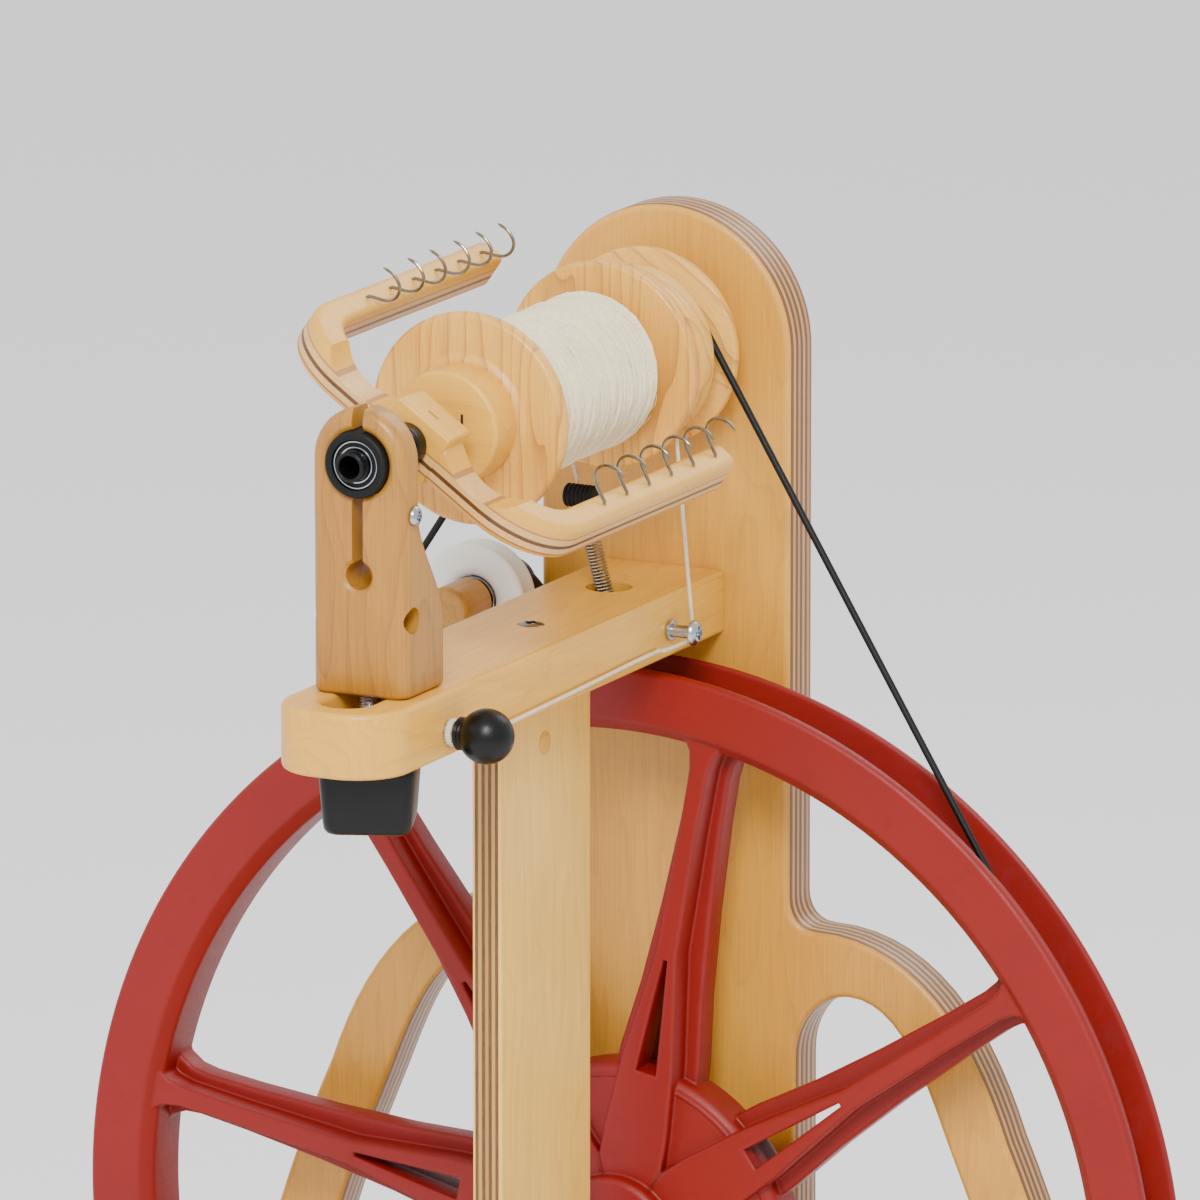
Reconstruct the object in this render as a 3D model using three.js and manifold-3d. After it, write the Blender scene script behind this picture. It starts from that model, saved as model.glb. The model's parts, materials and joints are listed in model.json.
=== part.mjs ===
// An upright spinning wheel: a moulded drive wheel in front of a tall plywood backboard, a maple bar with the
// front maiden, a U-shaped flyer with its bobbin above the wheel, and two treadles. Millimetres, +Z up.
// X is the spinner's right, Y runs from the spinner to the backboard. The design is drawn around the drive
// wheel's axle, which is the Y axis of the inner frame; the last lines move it to stand on Z = 0.
import * as THREE from "three";
import { mergeVertices } from "three/addons/utils/BufferGeometryUtils.js";
import Module from "manifold-3d";

const wasm = await Module();
wasm.setup();

// ---- driving dimensions ----
const GAP = 0.3; // between pieces that touch
const AXLE_HEIGHT = 302; // drive wheel's axle above the floor
const PAD = 8; // rubber foot thickness
const FLOOR = -AXLE_HEIGHT;
const BOARD = { half: 47.4, depth: 18.4, archZ: 308.5 }; // backboard column
const WHEEL = { radius: 203.2, front: -40.7, rear: -13.7, annulus: 184.8, bore: 10.3, spokes: 8 };
const SPOKE_START = 34.5; // degrees, first spoke above +X
const BAND = { wheelRadius: 192.5, wheelY: -32, whorlRadius: 26, whorlY: -20, thick: 1.25 };
const BAR = { half: 22.6, top: 231.2, bottom: 208.9, front: -252, corner: 19 };
const POST = { half: 5.5, front: -134, rear: -67 };
const FLYER_Z = 309.5; // flyer axis above the axle
const FLYER_TURN = THREE.MathUtils.degToRad(35); // rest attitude of the flyer
const FLYER = { outer: 59, inner: 49, front: -190, back: -176, end: -47.5, thick: 14, corner: 27 };
const MAIDEN = { half: 17.5, front: -226.4, topRear: -213.5, footRear: -195.8, top: 328 };
const BEARING = { outer: 11.2, ring: 8.2, tube: 5.2, bore: 3.7 };
const CLAMP_Y = -218; // clamp bolt under the maiden
const SLOT = { half: 8.5, front: -242, rear: -208 };
const BOBBIN = { hubFront: -164.6, flange: -144, rear: -50, flangeRadius: 36, yarn: 27 };
const BRAKE = { y: -42.3, radius: 22.9, thick: 0.7 };
const GUIDE = { y: -42, z: 218.5, reach: 34 };
const TENSION = { y: -205, z: 217.3, ballX: 36.5, ball: 9.3 };
const SPRING = { foot: [2.5, 214], radius: 3.2, length: 44 };
const IDLER = { x: -56, z: 219.5, radius: 19.7, front: -35, rear: -25, dowel: 8.3 };
const CRANK = { throw: 26, webA: [20, 28], pinA: [28, 38], webB: [38, 45], pinB: [45, 56] };
const ROD = { y: -225, z: FLOOR + 48, radius: 4, half: 126 };
const STRETCHER = { half: 12, bottom: FLOOR + 36.3, top: FLOOR + 70 };
const FRONT_FOOT = { half: 190, front: -240, rear: -210, top: FLOOR + 36 };
const TREADLE = { inner: 20, outer: 108, front: -300, bottom: FLOOR + 54, top: FLOOR + 66, tail: 24.5, pinX: 42, pinZ: FLOOR + 69 };

const COLOURS = {
  maple: ["#e6cd9f", 0.5, 0],
  plywood: ["#cfa568", 0.5, 0],
  cherry: ["#c69c65", 0.5, 0],
  red: ["#b33a2b", 0.4, 0],
  black: ["#202324", 0.4, 0],
  rubber: ["#141415", 0.8, 0],
  steel: ["#b9bcc0", 0.3, 1],
  white: ["#e4e2dc", 0.4, 0],
  yarn: ["#e6e0cf", 0.9, 0],
  cord: ["#ded9cc", 0.9, 0],
};
const MATERIALS = Object.fromEntries(
  Object.entries(COLOURS).map(([name, [color, roughness, metalness]]) => [
    name,
    new THREE.MeshStandardMaterial({ color, roughness, metalness }),
  ]),
);

// ---- solids ----
function solid(geometry) {
  const bare = geometry.index ? geometry.toNonIndexed() : geometry.clone();
  bare.deleteAttribute("normal");
  bare.deleteAttribute("uv");
  const merged = mergeVertices(bare, 1e-3);
  return new wasm.Manifold(
    new wasm.Mesh({
      numProp: 3,
      vertProperties: new Float32Array(merged.attributes.position.array),
      triVerts: new Uint32Array(merged.index.array),
    }),
  );
}

function geometryOf(manifold) {
  const data = manifold.getMesh();
  const geometry = new THREE.BufferGeometry();
  geometry.setAttribute("position", new THREE.BufferAttribute(new Float32Array(data.vertProperties), 3));
  geometry.setIndex(new THREE.BufferAttribute(new Uint32Array(data.triVerts), 1));
  geometry.computeVertexNormals();
  return geometry;
}

const join = (first, ...rest) => rest.reduce((sum, piece) => sum.add(piece), first);
const cut = (first, ...rest) => rest.reduce((left, piece) => left.subtract(piece), first);

// A round bar from one end to the other along an axis; at = the two other coordinates.
function rod(axis, from, to, radius, at = [0, 0], sides = 20) {
  const geometry = new THREE.CylinderGeometry(radius, radius, to - from, sides);
  geometry.translate(0, (from + to) / 2, 0);
  if (axis === "x") geometry.rotateZ(-Math.PI / 2).translate(0, at[0], at[1]);
  if (axis === "y") geometry.translate(at[0], 0, at[1]);
  if (axis === "z") geometry.rotateX(Math.PI / 2).translate(at[0], at[1], 0);
  return solid(geometry);
}

function box(x0, x1, y0, y1, z0, z1) {
  const geometry = new THREE.BoxGeometry(x1 - x0, y1 - y0, z1 - z0);
  return solid(geometry.translate((x0 + x1) / 2, (y0 + y1) / 2, (z0 + z1) / 2));
}

// A body turned about the Y direction; the profile lists [radius, y] and starts and ends on the axis or closes.
function turned(profile, at = [0, 0], sides = 40) {
  const points = profile.map(([r, y]) => new THREE.Vector2(r, y));
  if (profile[0][0] > 0) points.push(points[0].clone());
  const body = solid(new THREE.LatheGeometry(points, sides).translate(at[0], 0, at[1]));
  return body.volume() < 0 ? solid(new THREE.LatheGeometry(points.reverse(), sides).translate(at[0], 0, at[1])) : body;
}

// A board whose outline is drawn in X and Z, from y0 to y1.
function boardXZ(shape, y0, y1, curveSegments = 8) {
  const geometry = new THREE.ExtrudeGeometry(shape, { depth: y1 - y0, bevelEnabled: false, curveSegments });
  return solid(geometry.rotateX(Math.PI / 2).translate(0, y1, 0));
}

// A board whose outline is drawn in X and Y, from z0 to z1.
function boardXY(shape, z0, z1, curveSegments = 6) {
  const geometry = new THREE.ExtrudeGeometry(shape, { depth: z1 - z0, bevelEnabled: false, curveSegments });
  return solid(geometry.translate(0, 0, z0));
}

// A board whose outline is drawn in Y and Z, from x0 to x1.
function boardYZ(shape, x0, x1, curveSegments = 6) {
  const geometry = new THREE.ExtrudeGeometry(shape, { depth: x1 - x0, bevelEnabled: false, curveSegments });
  return solid(geometry.rotateX(Math.PI / 2).rotateZ(Math.PI / 2).translate(x0, 0, 0));
}

function roundedRect(x0, y0, x1, y1, r) {
  const s = new THREE.Shape();
  s.moveTo(x0 + r, y0).lineTo(x1 - r, y0);
  s.absarc(x1 - r, y0 + r, r, -Math.PI / 2, 0);
  s.lineTo(x1, y1 - r);
  s.absarc(x1 - r, y1 - r, r, 0, Math.PI / 2);
  s.lineTo(x0 + r, y1);
  s.absarc(x0 + r, y1 - r, r, Math.PI / 2, Math.PI);
  s.lineTo(x0, y0 + r);
  s.absarc(x0 + r, y0 + r, r, Math.PI, 1.5 * Math.PI);
  return s;
}

// A cord or wire through its points, with a flat-sided section at each of them.
function cord(points, radius, { closed = false, sides = 6 } = {}) {
  const path = points.map((p) => new THREE.Vector3(...p));
  const count = path.length;
  const at = (i) => path[closed ? (i + count) % count : Math.min(Math.max(i, 0), count - 1)];
  const tangents = path.map((_, i) => at(i + 1).clone().sub(at(i - 1)).normalize());
  const across = new THREE.Vector3(0.3, 0.2, 1).cross(tangents[0]).normalize();
  const corners = [];
  path.forEach((point, i) => {
    across.addScaledVector(tangents[i], -across.dot(tangents[i])).normalize();
    const up = tangents[i].clone().cross(across);
    for (let k = 0; k < sides; k++) {
      const angle = (2 * Math.PI * k) / sides;
      corners.push(point.clone().addScaledVector(across, radius * Math.cos(angle)));
      corners.at(-1).addScaledVector(up, radius * Math.sin(angle));
    }
  });
  const index = [];
  for (let i = 0; i < (closed ? count : count - 1); i++) {
    for (let k = 0; k < sides; k++) {
      const [a, b] = [i * sides + k, i * sides + ((k + 1) % sides)];
      const [c, d] = [a, b].map((corner) => (corner + sides) % corners.length);
      index.push(a, b, c, b, d, c);
    }
  }
  for (let k = 1; k < sides - 1 && !closed; k++) {
    const end = (count - 1) * sides;
    index.push(0, k + 1, k, end, end + k, end + k + 1);
  }
  const geometry = new THREE.BufferGeometry().setFromPoints(corners);
  return solid(geometry.setIndex(index));
}

function mesh(name, manifold, colour) {
  const part = new THREE.Mesh(geometryOf(manifold), MATERIALS[colour]);
  part.name = name;
  return part;
}

const assembly = new THREE.Group();
const add = (name, manifold, colour) => assembly.add(mesh(name, manifold, colour));

// ---- backboard: arched column, shoulders with hand holes, legs and treadle arches ----
function backboardOutline() {
  const { half, archZ } = BOARD;
  const foot = FLOOR + PAD + GAP;
  const arch = FLOOR + 112;
  const side = (s, mirror) => {
    const m = mirror ? -1 : 1;
    return {
      line: (x, z) => s.lineTo(m * x, z),
      curve: (a, b, c, d, e, f) => s.bezierCurveTo(m * a, b, m * c, d, m * e, f),
    };
  };
  const s = new THREE.Shape();
  s.moveTo(-half, archZ);
  s.absarc(0, archZ, half, Math.PI, 0, true);
  const right = side(s, false);
  right.line(half, 118);
  right.curve(half, 112, 51, 107.5, 57, 107.5);
  right.curve(95, 108, 117, 78, 130, 41);
  right.curve(158, -20, 196, -150, 196, foot);
  right.line(136, foot);
  right.curve(136, FLOOR + 90, 124, arch, 96, arch);
  right.line(36, arch);
  right.curve(24, arch, 18, arch - 6, 18, arch - 18);
  right.line(18, FLOOR + 30);
  const left = side(s, true);
  left.line(18, FLOOR + 30);
  left.line(18, arch - 18);
  left.curve(18, arch - 6, 24, arch, 36, arch);
  left.line(96, arch);
  left.curve(124, arch, 136, FLOOR + 90, 136, foot);
  left.line(196, foot);
  left.curve(196, -150, 158, -20, 130, 41);
  left.curve(117, 78, 95, 108, 57, 107.5);
  left.curve(51, 107.5, half, 112, half, 118);
  left.line(half, archZ);
  return s;
}

function handHole(m) {
  const s = new THREE.Shape();
  s.moveTo(m * 50, 62);
  s.bezierCurveTo(m * 50, 76, m * 60, 85.5, m * 70, 85.5);
  s.bezierCurveTo(m * 92, 85.5, m * 102, 50, m * 110, 32);
  s.bezierCurveTo(m * 136, -28, m * 150, -90, m * 154, -128);
  s.bezierCurveTo(m * 156, -146, m * 146, -152, m * 134, -152);
  s.lineTo(m * 74, -152);
  s.bezierCurveTo(m * 58, -152, m * 50, -144, m * 50, -128);
  s.closePath();
  return s;
}

const axleHole = rod("y", -5, 25, 14, [0, 0], 32);
const flyerBearingHole = rod("y", -5, 25, 9, [0, FLYER_Z]);
const backboard = cut(
  boardXZ(backboardOutline(), 0, BOARD.depth, 8),
  boardXZ(handHole(1), -5, 25, 6),
  boardXZ(handHole(-1), -5, 25, 6),
  axleHole,
  flyerBearingHole,
);
add("backboard", backboard, "plywood");
const bush = (rOut, rIn, y0, y1, at) =>
  turned([[rIn, y0], [rOut, y0], [rOut, y1], [rIn, y1]], at, 20);
add("axle_bearing_front", bush(13.7, 8.3, 0.3, 7.5, [0, 0]), "steel");
add("axle_bearing_rear", bush(13.7, 8.3, 10.9, 18.1, [0, 0]), "steel");
add("rear_flyer_bearing", bush(8.7, 4.3, 0.3, 12, [0, FLYER_Z]), "black");

// ---- base ----
const stretcher = cut(
  box(-STRETCHER.half, STRETCHER.half, -256, -GAP, STRETCHER.bottom, STRETCHER.top),
  rod("x", -20, 20, ROD.radius + GAP, [ROD.y, ROD.z]),
);
add("stretcher", stretcher, "maple");
const footShape = roundedRect(-FRONT_FOOT.half, FRONT_FOOT.front, FRONT_FOOT.half, FRONT_FOOT.rear, 12);
add("front_foot", boardXY(footShape, FLOOR + PAD + GAP, FRONT_FOOT.top), "maple");
for (const [side, m] of [["left", -1], ["right", 1]]) {
  add(`foot_pad_front_${side}`, rod("z", FLOOR, FLOOR + PAD, 13, [m * 165, -225]), "rubber");
  add(`foot_pad_rear_${side}`, rod("z", FLOOR, FLOOR + PAD, 8.5, [m * 166, BOARD.depth / 2]), "rubber");
  const bracket = cut(
    box(m * 118 - 5, m * 118 + 5, -236, -214, FRONT_FOOT.top + GAP, FLOOR + 59),
    rod("x", m * 118 - 8, m * 118 + 8, ROD.radius + GAP, [ROD.y, ROD.z]),
  );
  add(`rod_bracket_${side}`, bracket, "maple");
}
add("treadle_rod", rod("x", -ROD.half, ROD.half, ROD.radius, [ROD.y, ROD.z]), "steel");
const postBottom = STRETCHER.top + GAP;
add("front_post", box(-POST.half, POST.half, POST.front, POST.rear, postBottom, BAR.bottom - GAP), "plywood");

// ---- bar that carries the flyer ----
function barOutline() {
  const { half, front, corner } = BAR;
  const s = new THREE.Shape();
  s.moveTo(-half, -GAP).lineTo(-half, front + corner);
  s.absarc(-half + corner, front + corner, corner, Math.PI, 1.5 * Math.PI);
  s.lineTo(half - corner, front);
  s.absarc(half - corner, front + corner, corner, 1.5 * Math.PI, 2 * Math.PI);
  s.lineTo(half, -GAP).closePath();
  return s;
}

const slotShape = roundedRect(-SLOT.half, SLOT.front, SLOT.half, SLOT.rear, SLOT.half - 0.2);
const bar = cut(
  boardXY(barOutline(), BAR.bottom, BAR.top, 8),
  boardXY(slotShape, BAR.bottom - 5, BAR.top + 5),
  rod("z", BAR.bottom + 4, BAR.top + 5, 8, [0, -42.3]),
  rod("x", 10, 30, 3 + GAP, [TENSION.y, TENSION.z], 16),
  rod("x", 12, 30, 2.5 + GAP, [GUIDE.y, GUIDE.z], 16),
);
add("flyer_bar", bar, "maple");
const guideShank = rod("x", 12.3, GUIDE.reach, 2.5, [GUIDE.y, GUIDE.z], 16);
const guideHead = rod("x", GUIDE.reach - 2.6, GUIDE.reach, 4.4, [GUIDE.y, GUIDE.z], 16);
add("brake_guide_screw", join(guideShank, guideHead), "steel");

// ---- front maiden, its bearing and clamp ----
function maidenSide() {
  const { front, topRear, footRear, top } = MAIDEN;
  const s = new THREE.Shape();
  s.moveTo(front, BAR.top + GAP).lineTo(footRear, BAR.top + GAP).lineTo(footRear, BAR.top + 22);
  s.bezierCurveTo(footRear - 3, BAR.top + 36, topRear, BAR.top + 40, topRear, BAR.top + 62);
  s.lineTo(topRear, top + 2).lineTo(front, top + 2).closePath();
  return s;
}

function maidenFace() {
  const { half, top } = MAIDEN;
  const arc = half + 0.4;
  const s = new THREE.Shape();
  s.moveTo(-half, BAR.top + GAP).lineTo(half, BAR.top + GAP).lineTo(half, top - arc);
  s.bezierCurveTo(half, top - 4, half * 0.55, top, 0, top);
  s.bezierCurveTo(-half * 0.55, top, -half, top - 4, -half, top - arc);
  s.closePath();
  return s;
}

const maiden = cut(
  boardXZ(maidenFace(), -240, -190, 8).intersect(boardYZ(maidenSide(), -30, 30, 6)),
  rod("y", -240, -190, BEARING.outer + GAP, [0, FLYER_Z], 32),
  box(-2, 2, -240, -190, 273, FLYER_Z),
  box(-2.2, 2.2, -240, -190, FLYER_Z, 340),
  rod("y", -240, -190, 4.8, [0, 271.8], 20),
  rod("x", -30, 30, 4.5, [-220.5, 257.5], 20),
  rod("z", BAR.top - 5, BAR.top + 16, 4 + GAP, [0, CLAMP_Y], 20),
  rod("x", 10, 30, 1.6 + GAP, [-220, 292.6], 12),
);
add("front_maiden", maiden, "cherry");
const sleeveProfile = [[BEARING.ring + 0.2, -228.6], [BEARING.outer, -228.6], [BEARING.outer, -212], [8.4, -212]];
add("bearing_sleeve", turned(sleeveProfile, [0, FLYER_Z], 32), "rubber");
add("front_bearing", bush(8, BEARING.tube + GAP, -227.8, -214, [0, FLYER_Z]), "steel");
const pinchShank = rod("x", 10.5, MAIDEN.half + 0.5, 1.6, [-220, 292.6], 12);
const pinchHead = rod("x", MAIDEN.half + GAP, MAIDEN.half + 2.2, 3.4, [-220, 292.6], 16);
add("maiden_pinch_screw", join(pinchShank, pinchHead), "steel");
add("clamp_bolt", rod("z", 200, BAR.top + 15.5, 4, [0, CLAMP_Y], 16), "steel");

function clampKnob() {
  const tall = 23;
  const shape = roundedRect(-16, -16, 16, 16, 7);
  const body = new THREE.ExtrudeGeometry(shape, {
    depth: tall - 3, bevelEnabled: true, bevelThickness: 1.5, bevelSize: 1.5, bevelOffset: -1.5, bevelSegments: 1,
    curveSegments: 4,
  });
  const place = body.rotateZ(Math.PI / 8).translate(0, CLAMP_Y, BAR.bottom - GAP - tall + 1.5);
  return cut(solid(place), rod("z", 197, 215, 4 + GAP, [0, CLAMP_Y], 16));
}
add("clamp_knob", clampKnob(), "black");

// ---- scotch tension: knob, cord and spring ----
const T = [TENSION.y, TENSION.z];
add("tension_shaft", join(rod("x", 11, 30, 3, T, 16), rod("x", 23, 27.6, 4.6, T, 20)), "steel");
const neck = join(rod("x", 27.9, 31.5, 5.2, T, 20), rod("x", 31, 34, 4.4, T, 20));
const ball = solid(new THREE.SphereGeometry(TENSION.ball, 16, 10).translate(TENSION.ballX, ...T));
add("tension_knob", cut(join(neck, ball), rod("x", 20, 30.3, 3 + GAP, T, 16)), "black");

// Where a straight cord from a point meets a circle round the flyer axis; side is +1 right, -1 left.
function tangentPoint([x, z], radius, side) {
  const dx = x;
  const dz = z - FLYER_Z;
  const reach = Math.hypot(dx, dz);
  const turn = Math.atan2(dz, dx) + side * Math.acos(radius / reach);
  return [radius * Math.cos(turn), FLYER_Z + radius * Math.sin(turn)];
}

function springLine() {
  const [x, z] = SPRING.foot;
  const [tx, tz] = tangentPoint(SPRING.foot, BRAKE.radius, -1);
  const length = Math.hypot(tx - x, tz - z);
  const along = (d) => [x + ((tx - x) * d) / length, z + ((tz - z) * d) / length];
  return { along, touch: [tx, tz], lean: Math.atan2(tx - x, tz - z) };
}

function brakeCordPoints() {
  const side = BAR.half + 1.6;
  const guideX = GUIDE.reach - 4.2;
  const wrap = 2.5 + BRAKE.thick + GAP + 0.2; // radius of the cord's centre round the guide screw
  const right = tangentPoint([guideX, GUIDE.z], BRAKE.radius, 1);
  const line = springLine();
  const points = [
    [25.4, TENSION.y + 1, TENSION.z - 5.7],
    [24.6, TENSION.y + 12, TENSION.z - 5.6],
    [side, -120, 212.5],
    [side, -60, 213.6],
    [side + 2, -52, 213.9],
  ];
  const turn = (from, to, steps, place) => {
    for (let i = 0; i <= steps; i++) points.push(place(from + ((to - from) * i) / steps));
  };
  turn(-0.6 * Math.PI, 0, 5, (angle) => [
    guideX,
    GUIDE.y + wrap * Math.cos(angle),
    GUIDE.z + wrap * Math.sin(angle),
  ]);
  const first = Math.atan2(right[1] - FLYER_Z, right[0]);
  const last = Math.atan2(line.touch[1] - FLYER_Z, line.touch[0]) + (line.touch[1] < FLYER_Z ? 2 * Math.PI : 0);
  turn(first, last, 16, (angle) => [
    BRAKE.radius * Math.cos(angle),
    BRAKE.y,
    FLYER_Z + BRAKE.radius * Math.sin(angle),
  ]);
  const [endX, endZ] = line.along(SPRING.length + 10.8);
  points.push([endX, BRAKE.y, endZ]);
  return points;
}
add("brake_cord", cord(brakeCordPoints(), BRAKE.thick), "cord");

function alongSpring(from, to, radius, sides) {
  const geometry = new THREE.CylinderGeometry(radius, radius, to - from, sides).translate(0, (from + to) / 2, 0);
  geometry.rotateX(Math.PI / 2).rotateY(springLine().lean);
  return solid(geometry.translate(SPRING.foot[0], BRAKE.y, SPRING.foot[1]));
}
add("brake_spring", alongSpring(0, SPRING.length, SPRING.radius, 16), "steel");
const [capX, capZ] = springLine().along(SPRING.length + 5.6);
add("spring_cap", rod("x", capX - 5.8, capX + 5.8, 4.2, [BRAKE.y, capZ], 16), "black");

// ---- flyer: everything that turns with its shaft ----
const flyer = new THREE.Group();
flyer.position.z = FLYER_Z;
flyer.rotation.y = FLYER_TURN;
assembly.add(flyer);

function flyerOutline() {
  const { outer, inner, front, back, end, corner } = FLYER;
  const inside = corner - 11;
  const s = new THREE.Shape();
  s.moveTo(outer, end - 1.5).lineTo(inner, end).lineTo(inner, back + inside);
  s.absarc(inner - inside, back + inside, inside, 0, -Math.PI / 2, true);
  s.lineTo(-inner + inside, back);
  s.absarc(-inner + inside, back + inside, inside, -Math.PI / 2, -Math.PI, true);
  s.lineTo(-inner, end).lineTo(-outer, end - 1.5).lineTo(-outer, front + corner);
  s.absarc(-outer + corner, front + corner, corner, Math.PI, 1.5 * Math.PI);
  s.lineTo(outer - corner, front);
  s.absarc(outer - corner, front + corner, corner, 1.5 * Math.PI, 2 * Math.PI);
  s.closePath();
  return s;
}

const onAxis = (manifold, name, colour) => flyer.add(mesh(name, manifold, colour));
const flyerArms = cut(
  join(
    boardXY(flyerOutline(), -FLYER.thick / 2, FLYER.thick / 2, 8),
    box(-11.5, 11.5, FLYER.front - 0.5, FLYER.back + 2, -10, 11),
  ),
  rod("y", -200, -170, 6.3, [0, 0]),
);
onAxis(flyerArms, "flyer_arms", "maple");
const tubeProfile = [[0, -194], [BEARING.bore, -194], [BEARING.bore, -232.3], [BEARING.tube, -232.3],
  [BEARING.tube, -197], [7.5, -197], [7.5, -190.8], [6, -190.8], [6, -173], [0, -173]];
onAxis(turned(tubeProfile, [0, 0], 24), "orifice_tube", "black");
onAxis(rod("y", -172.7, 12, 4, [0, 0], 20), "flyer_shaft", "steel");
const whorlProfile = [[4.3, -34.5], [31.3, -34.5], [31.3, -24.6], [23.6, -21.2], [23.6, -18.8], [34.5, -16],
  [34.5, -11.5], [4.3, -11.5]];
onAxis(turned(whorlProfile, [0, 0], 32), "whorl", "maple");

const HOOKS = 6;
const HOOK_WIRE = 0.6;
for (const [side, m] of [["left", -1], ["right", 1]]) {
  for (let i = 0; i < HOOKS; i++) {
    const y = -142 + 16.6 * i;
    const x = m * (FLYER.outer + FLYER.inner) * 0.5;
    const top = FLYER.thick / 2 + GAP;
    const points = [[0, 0], [-1.6, 0.9], [-6.6, 3.6], [-8.6, 7.2], [-7.2, 11.2], [-3.2, 13], [1, 12.4]];
    const path = points.map(([a, b]) => [x + m * a, y, top + HOOK_WIRE + b]);
    onAxis(cord(path, HOOK_WIRE), `hook_${side}_${i + 1}`, "steel");
  }
}

// ---- bobbin ----
const bobbin = new THREE.Group();
bobbin.position.z = FLYER_Z;
assembly.add(bobbin);
const { hubFront, flange, rear, flangeRadius } = BOBBIN;
const inner = 4 + GAP;
bobbin.add(mesh("bobbin_front_flange", turned([[inner, hubFront], [19.6, hubFront], [19.6, flange - 5],
  [flangeRadius - 0.6, flange - 3.6], [flangeRadius, flange - 2], [flangeRadius, flange + 1.5],
  [inner, flange + 1.5]], [0, 0], 32), "maple"));
bobbin.add(mesh("bobbin_core", turned([[inner, flange + 1.8], [12, flange + 1.8], [12, rear - GAP],
  [inner, rear - GAP]], [0, 0], 24), "maple"));
bobbin.add(mesh("bobbin_rear_flange", turned([[inner, rear], [35.5, rear], [35.5, rear + 5], [21.4, rear + 6.4],
  [21.4, rear + 9.2], [30, rear + 10.8], [30, rear + 14], [inner, rear + 14]], [0, 0], 32), "maple"));
bobbin.add(mesh("yarn_package", turned([[12.3, flange + 1.8], [24, flange + 1.8], [26.6, flange + 10],
  [BOBBIN.yarn, flange + 40], [BOBBIN.yarn, rear - 8], [25.5, rear - 1.2], [12.3, rear - 1.2]],
  [0, 0], 32), "yarn"));

// ---- drive wheel, axle and crank ----
function rimProfile() {
  const { radius: r, front: f, rear: b, annulus: a } = WHEEL;
  return [[a, f], [r - 1.6, f], [r, f + 1.4], [r, f + 4.2], [r - 13.2, f + 7.2], [r - 13.2, f + 10.2],
    [r - 5, f + 13.2], [r - 5, f + 14], [r - 12, f + 15.2], [r - 12, b - 4], [r - 1, b - 2.4], [r, b - 2],
    [r, b], [a, b], [a - 4.6, b - 4.5], [a - 4.6, f + 4.5]];
}

// Half width of a spoke's flat web, and of its raised rib, at a radius.
function taper(points) {
  const shape = new THREE.Shape();
  points.forEach(([r, w], i) => (i ? shape.lineTo(r, w) : shape.moveTo(r, w)));
  [...points].reverse().forEach(([r, w]) => shape.lineTo(r, -w));
  shape.closePath();
  return shape;
}

function driveWheel() {
  const { front, rear, bore, spokes } = WHEEL;
  const rim = turned(rimProfile(), [0, 0], 64);
  const web = taper([[40, 17], [66, 15.5], [90, 12.2], [120, 9.6], [150, 8], [171, 7.6], [178, 9.5], [183, 15]]);
  const rib = taper([[40, 12], [66, 10], [90, 6.4], [106, 4], [150, 3.4], [178, 3.6], [183, 5]]);
  const slit = taper([[62, 3.8], [103, 0.5]]);
  let wheel = join(
    rim,
    rod("y", front + 7, rear - 3, 62, [0, 0], 32),
    rod("y", front - 3, rear, 24, [0, 0], 24),
  );
  for (let i = 0; i < spokes; i++) {
    const angle = SPOKE_START + (360 / spokes) * i;
    const spoke = cut(
      join(boardXZ(web, front + 13, rear - 4, 1), boardXZ(rib, front + 3, rear - 4, 1)),
      boardXZ(slit, front - 5, rear + 5, 1),
    );
    wheel = wheel.add(spoke.rotate([0, -angle, 0]));
  }
  return cut(wheel, rod("y", front - 10, rear + 10, bore, [0, 0], 24));
}
add("drive_wheel", driveWheel(), "red");
add("wheel_axle", join(rod("y", -46, -13, 10, [0, 0], 28), rod("y", -13.2, 20 - GAP, 8, [0, 0], 24)), "steel");
add("hub_cap", turned([[0, -50], [9, -50], [12, -48], [13, -46.3], [0, -46.3]], [0, 0], 24), "black");

function crank() {
  const { throw: t, webA, pinA, webB, pinB } = CRANK;
  return join(
    rod("y", webA[0], webA[1], 12, [0, 0]),
    box(0, t, webA[0], webA[1], -8, 8),
    rod("y", webA[0], webA[1], 8, [t, 0]),
    rod("y", pinA[0] - 1, pinA[1] + 1, 4, [t, 0], 16),
    box(-t, t, webB[0], webB[1], -8, 8),
    rod("y", webB[0], webB[1], 8, [t, 0]),
    rod("y", webB[0], webB[1], 8, [-t, 0]),
    rod("y", pinB[0] - 1, pinB[1], 4, [-t, 0], 16),
  );
}
add("crank", crank(), "steel");

// ---- footmen: each hangs from a crank pin down to its treadle ----
function footman(m, y0, y1) {
  const across = TREADLE.pinX - CRANK.throw;
  const length = Math.hypot(across, TREADLE.pinZ);
  const lean = THREE.MathUtils.radToDeg(Math.asin(across / length));
  const s = roundedRect(-9, -length - 9, 9, 9, 8.8);
  const strip = boardXZ(s, y0 + GAP, y1 - GAP, 6).rotate([0, -m * lean, 0]).translate([m * CRANK.throw, 0, 0]);
  return cut(strip, rod("y", y0 - 2, y1 + 2, 4 + GAP, [m * CRANK.throw, 0], 20));
}
add("footman_right", footman(1, ...CRANK.pinA), "maple");
add("footman_left", footman(-1, ...CRANK.pinB), "maple");

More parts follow.
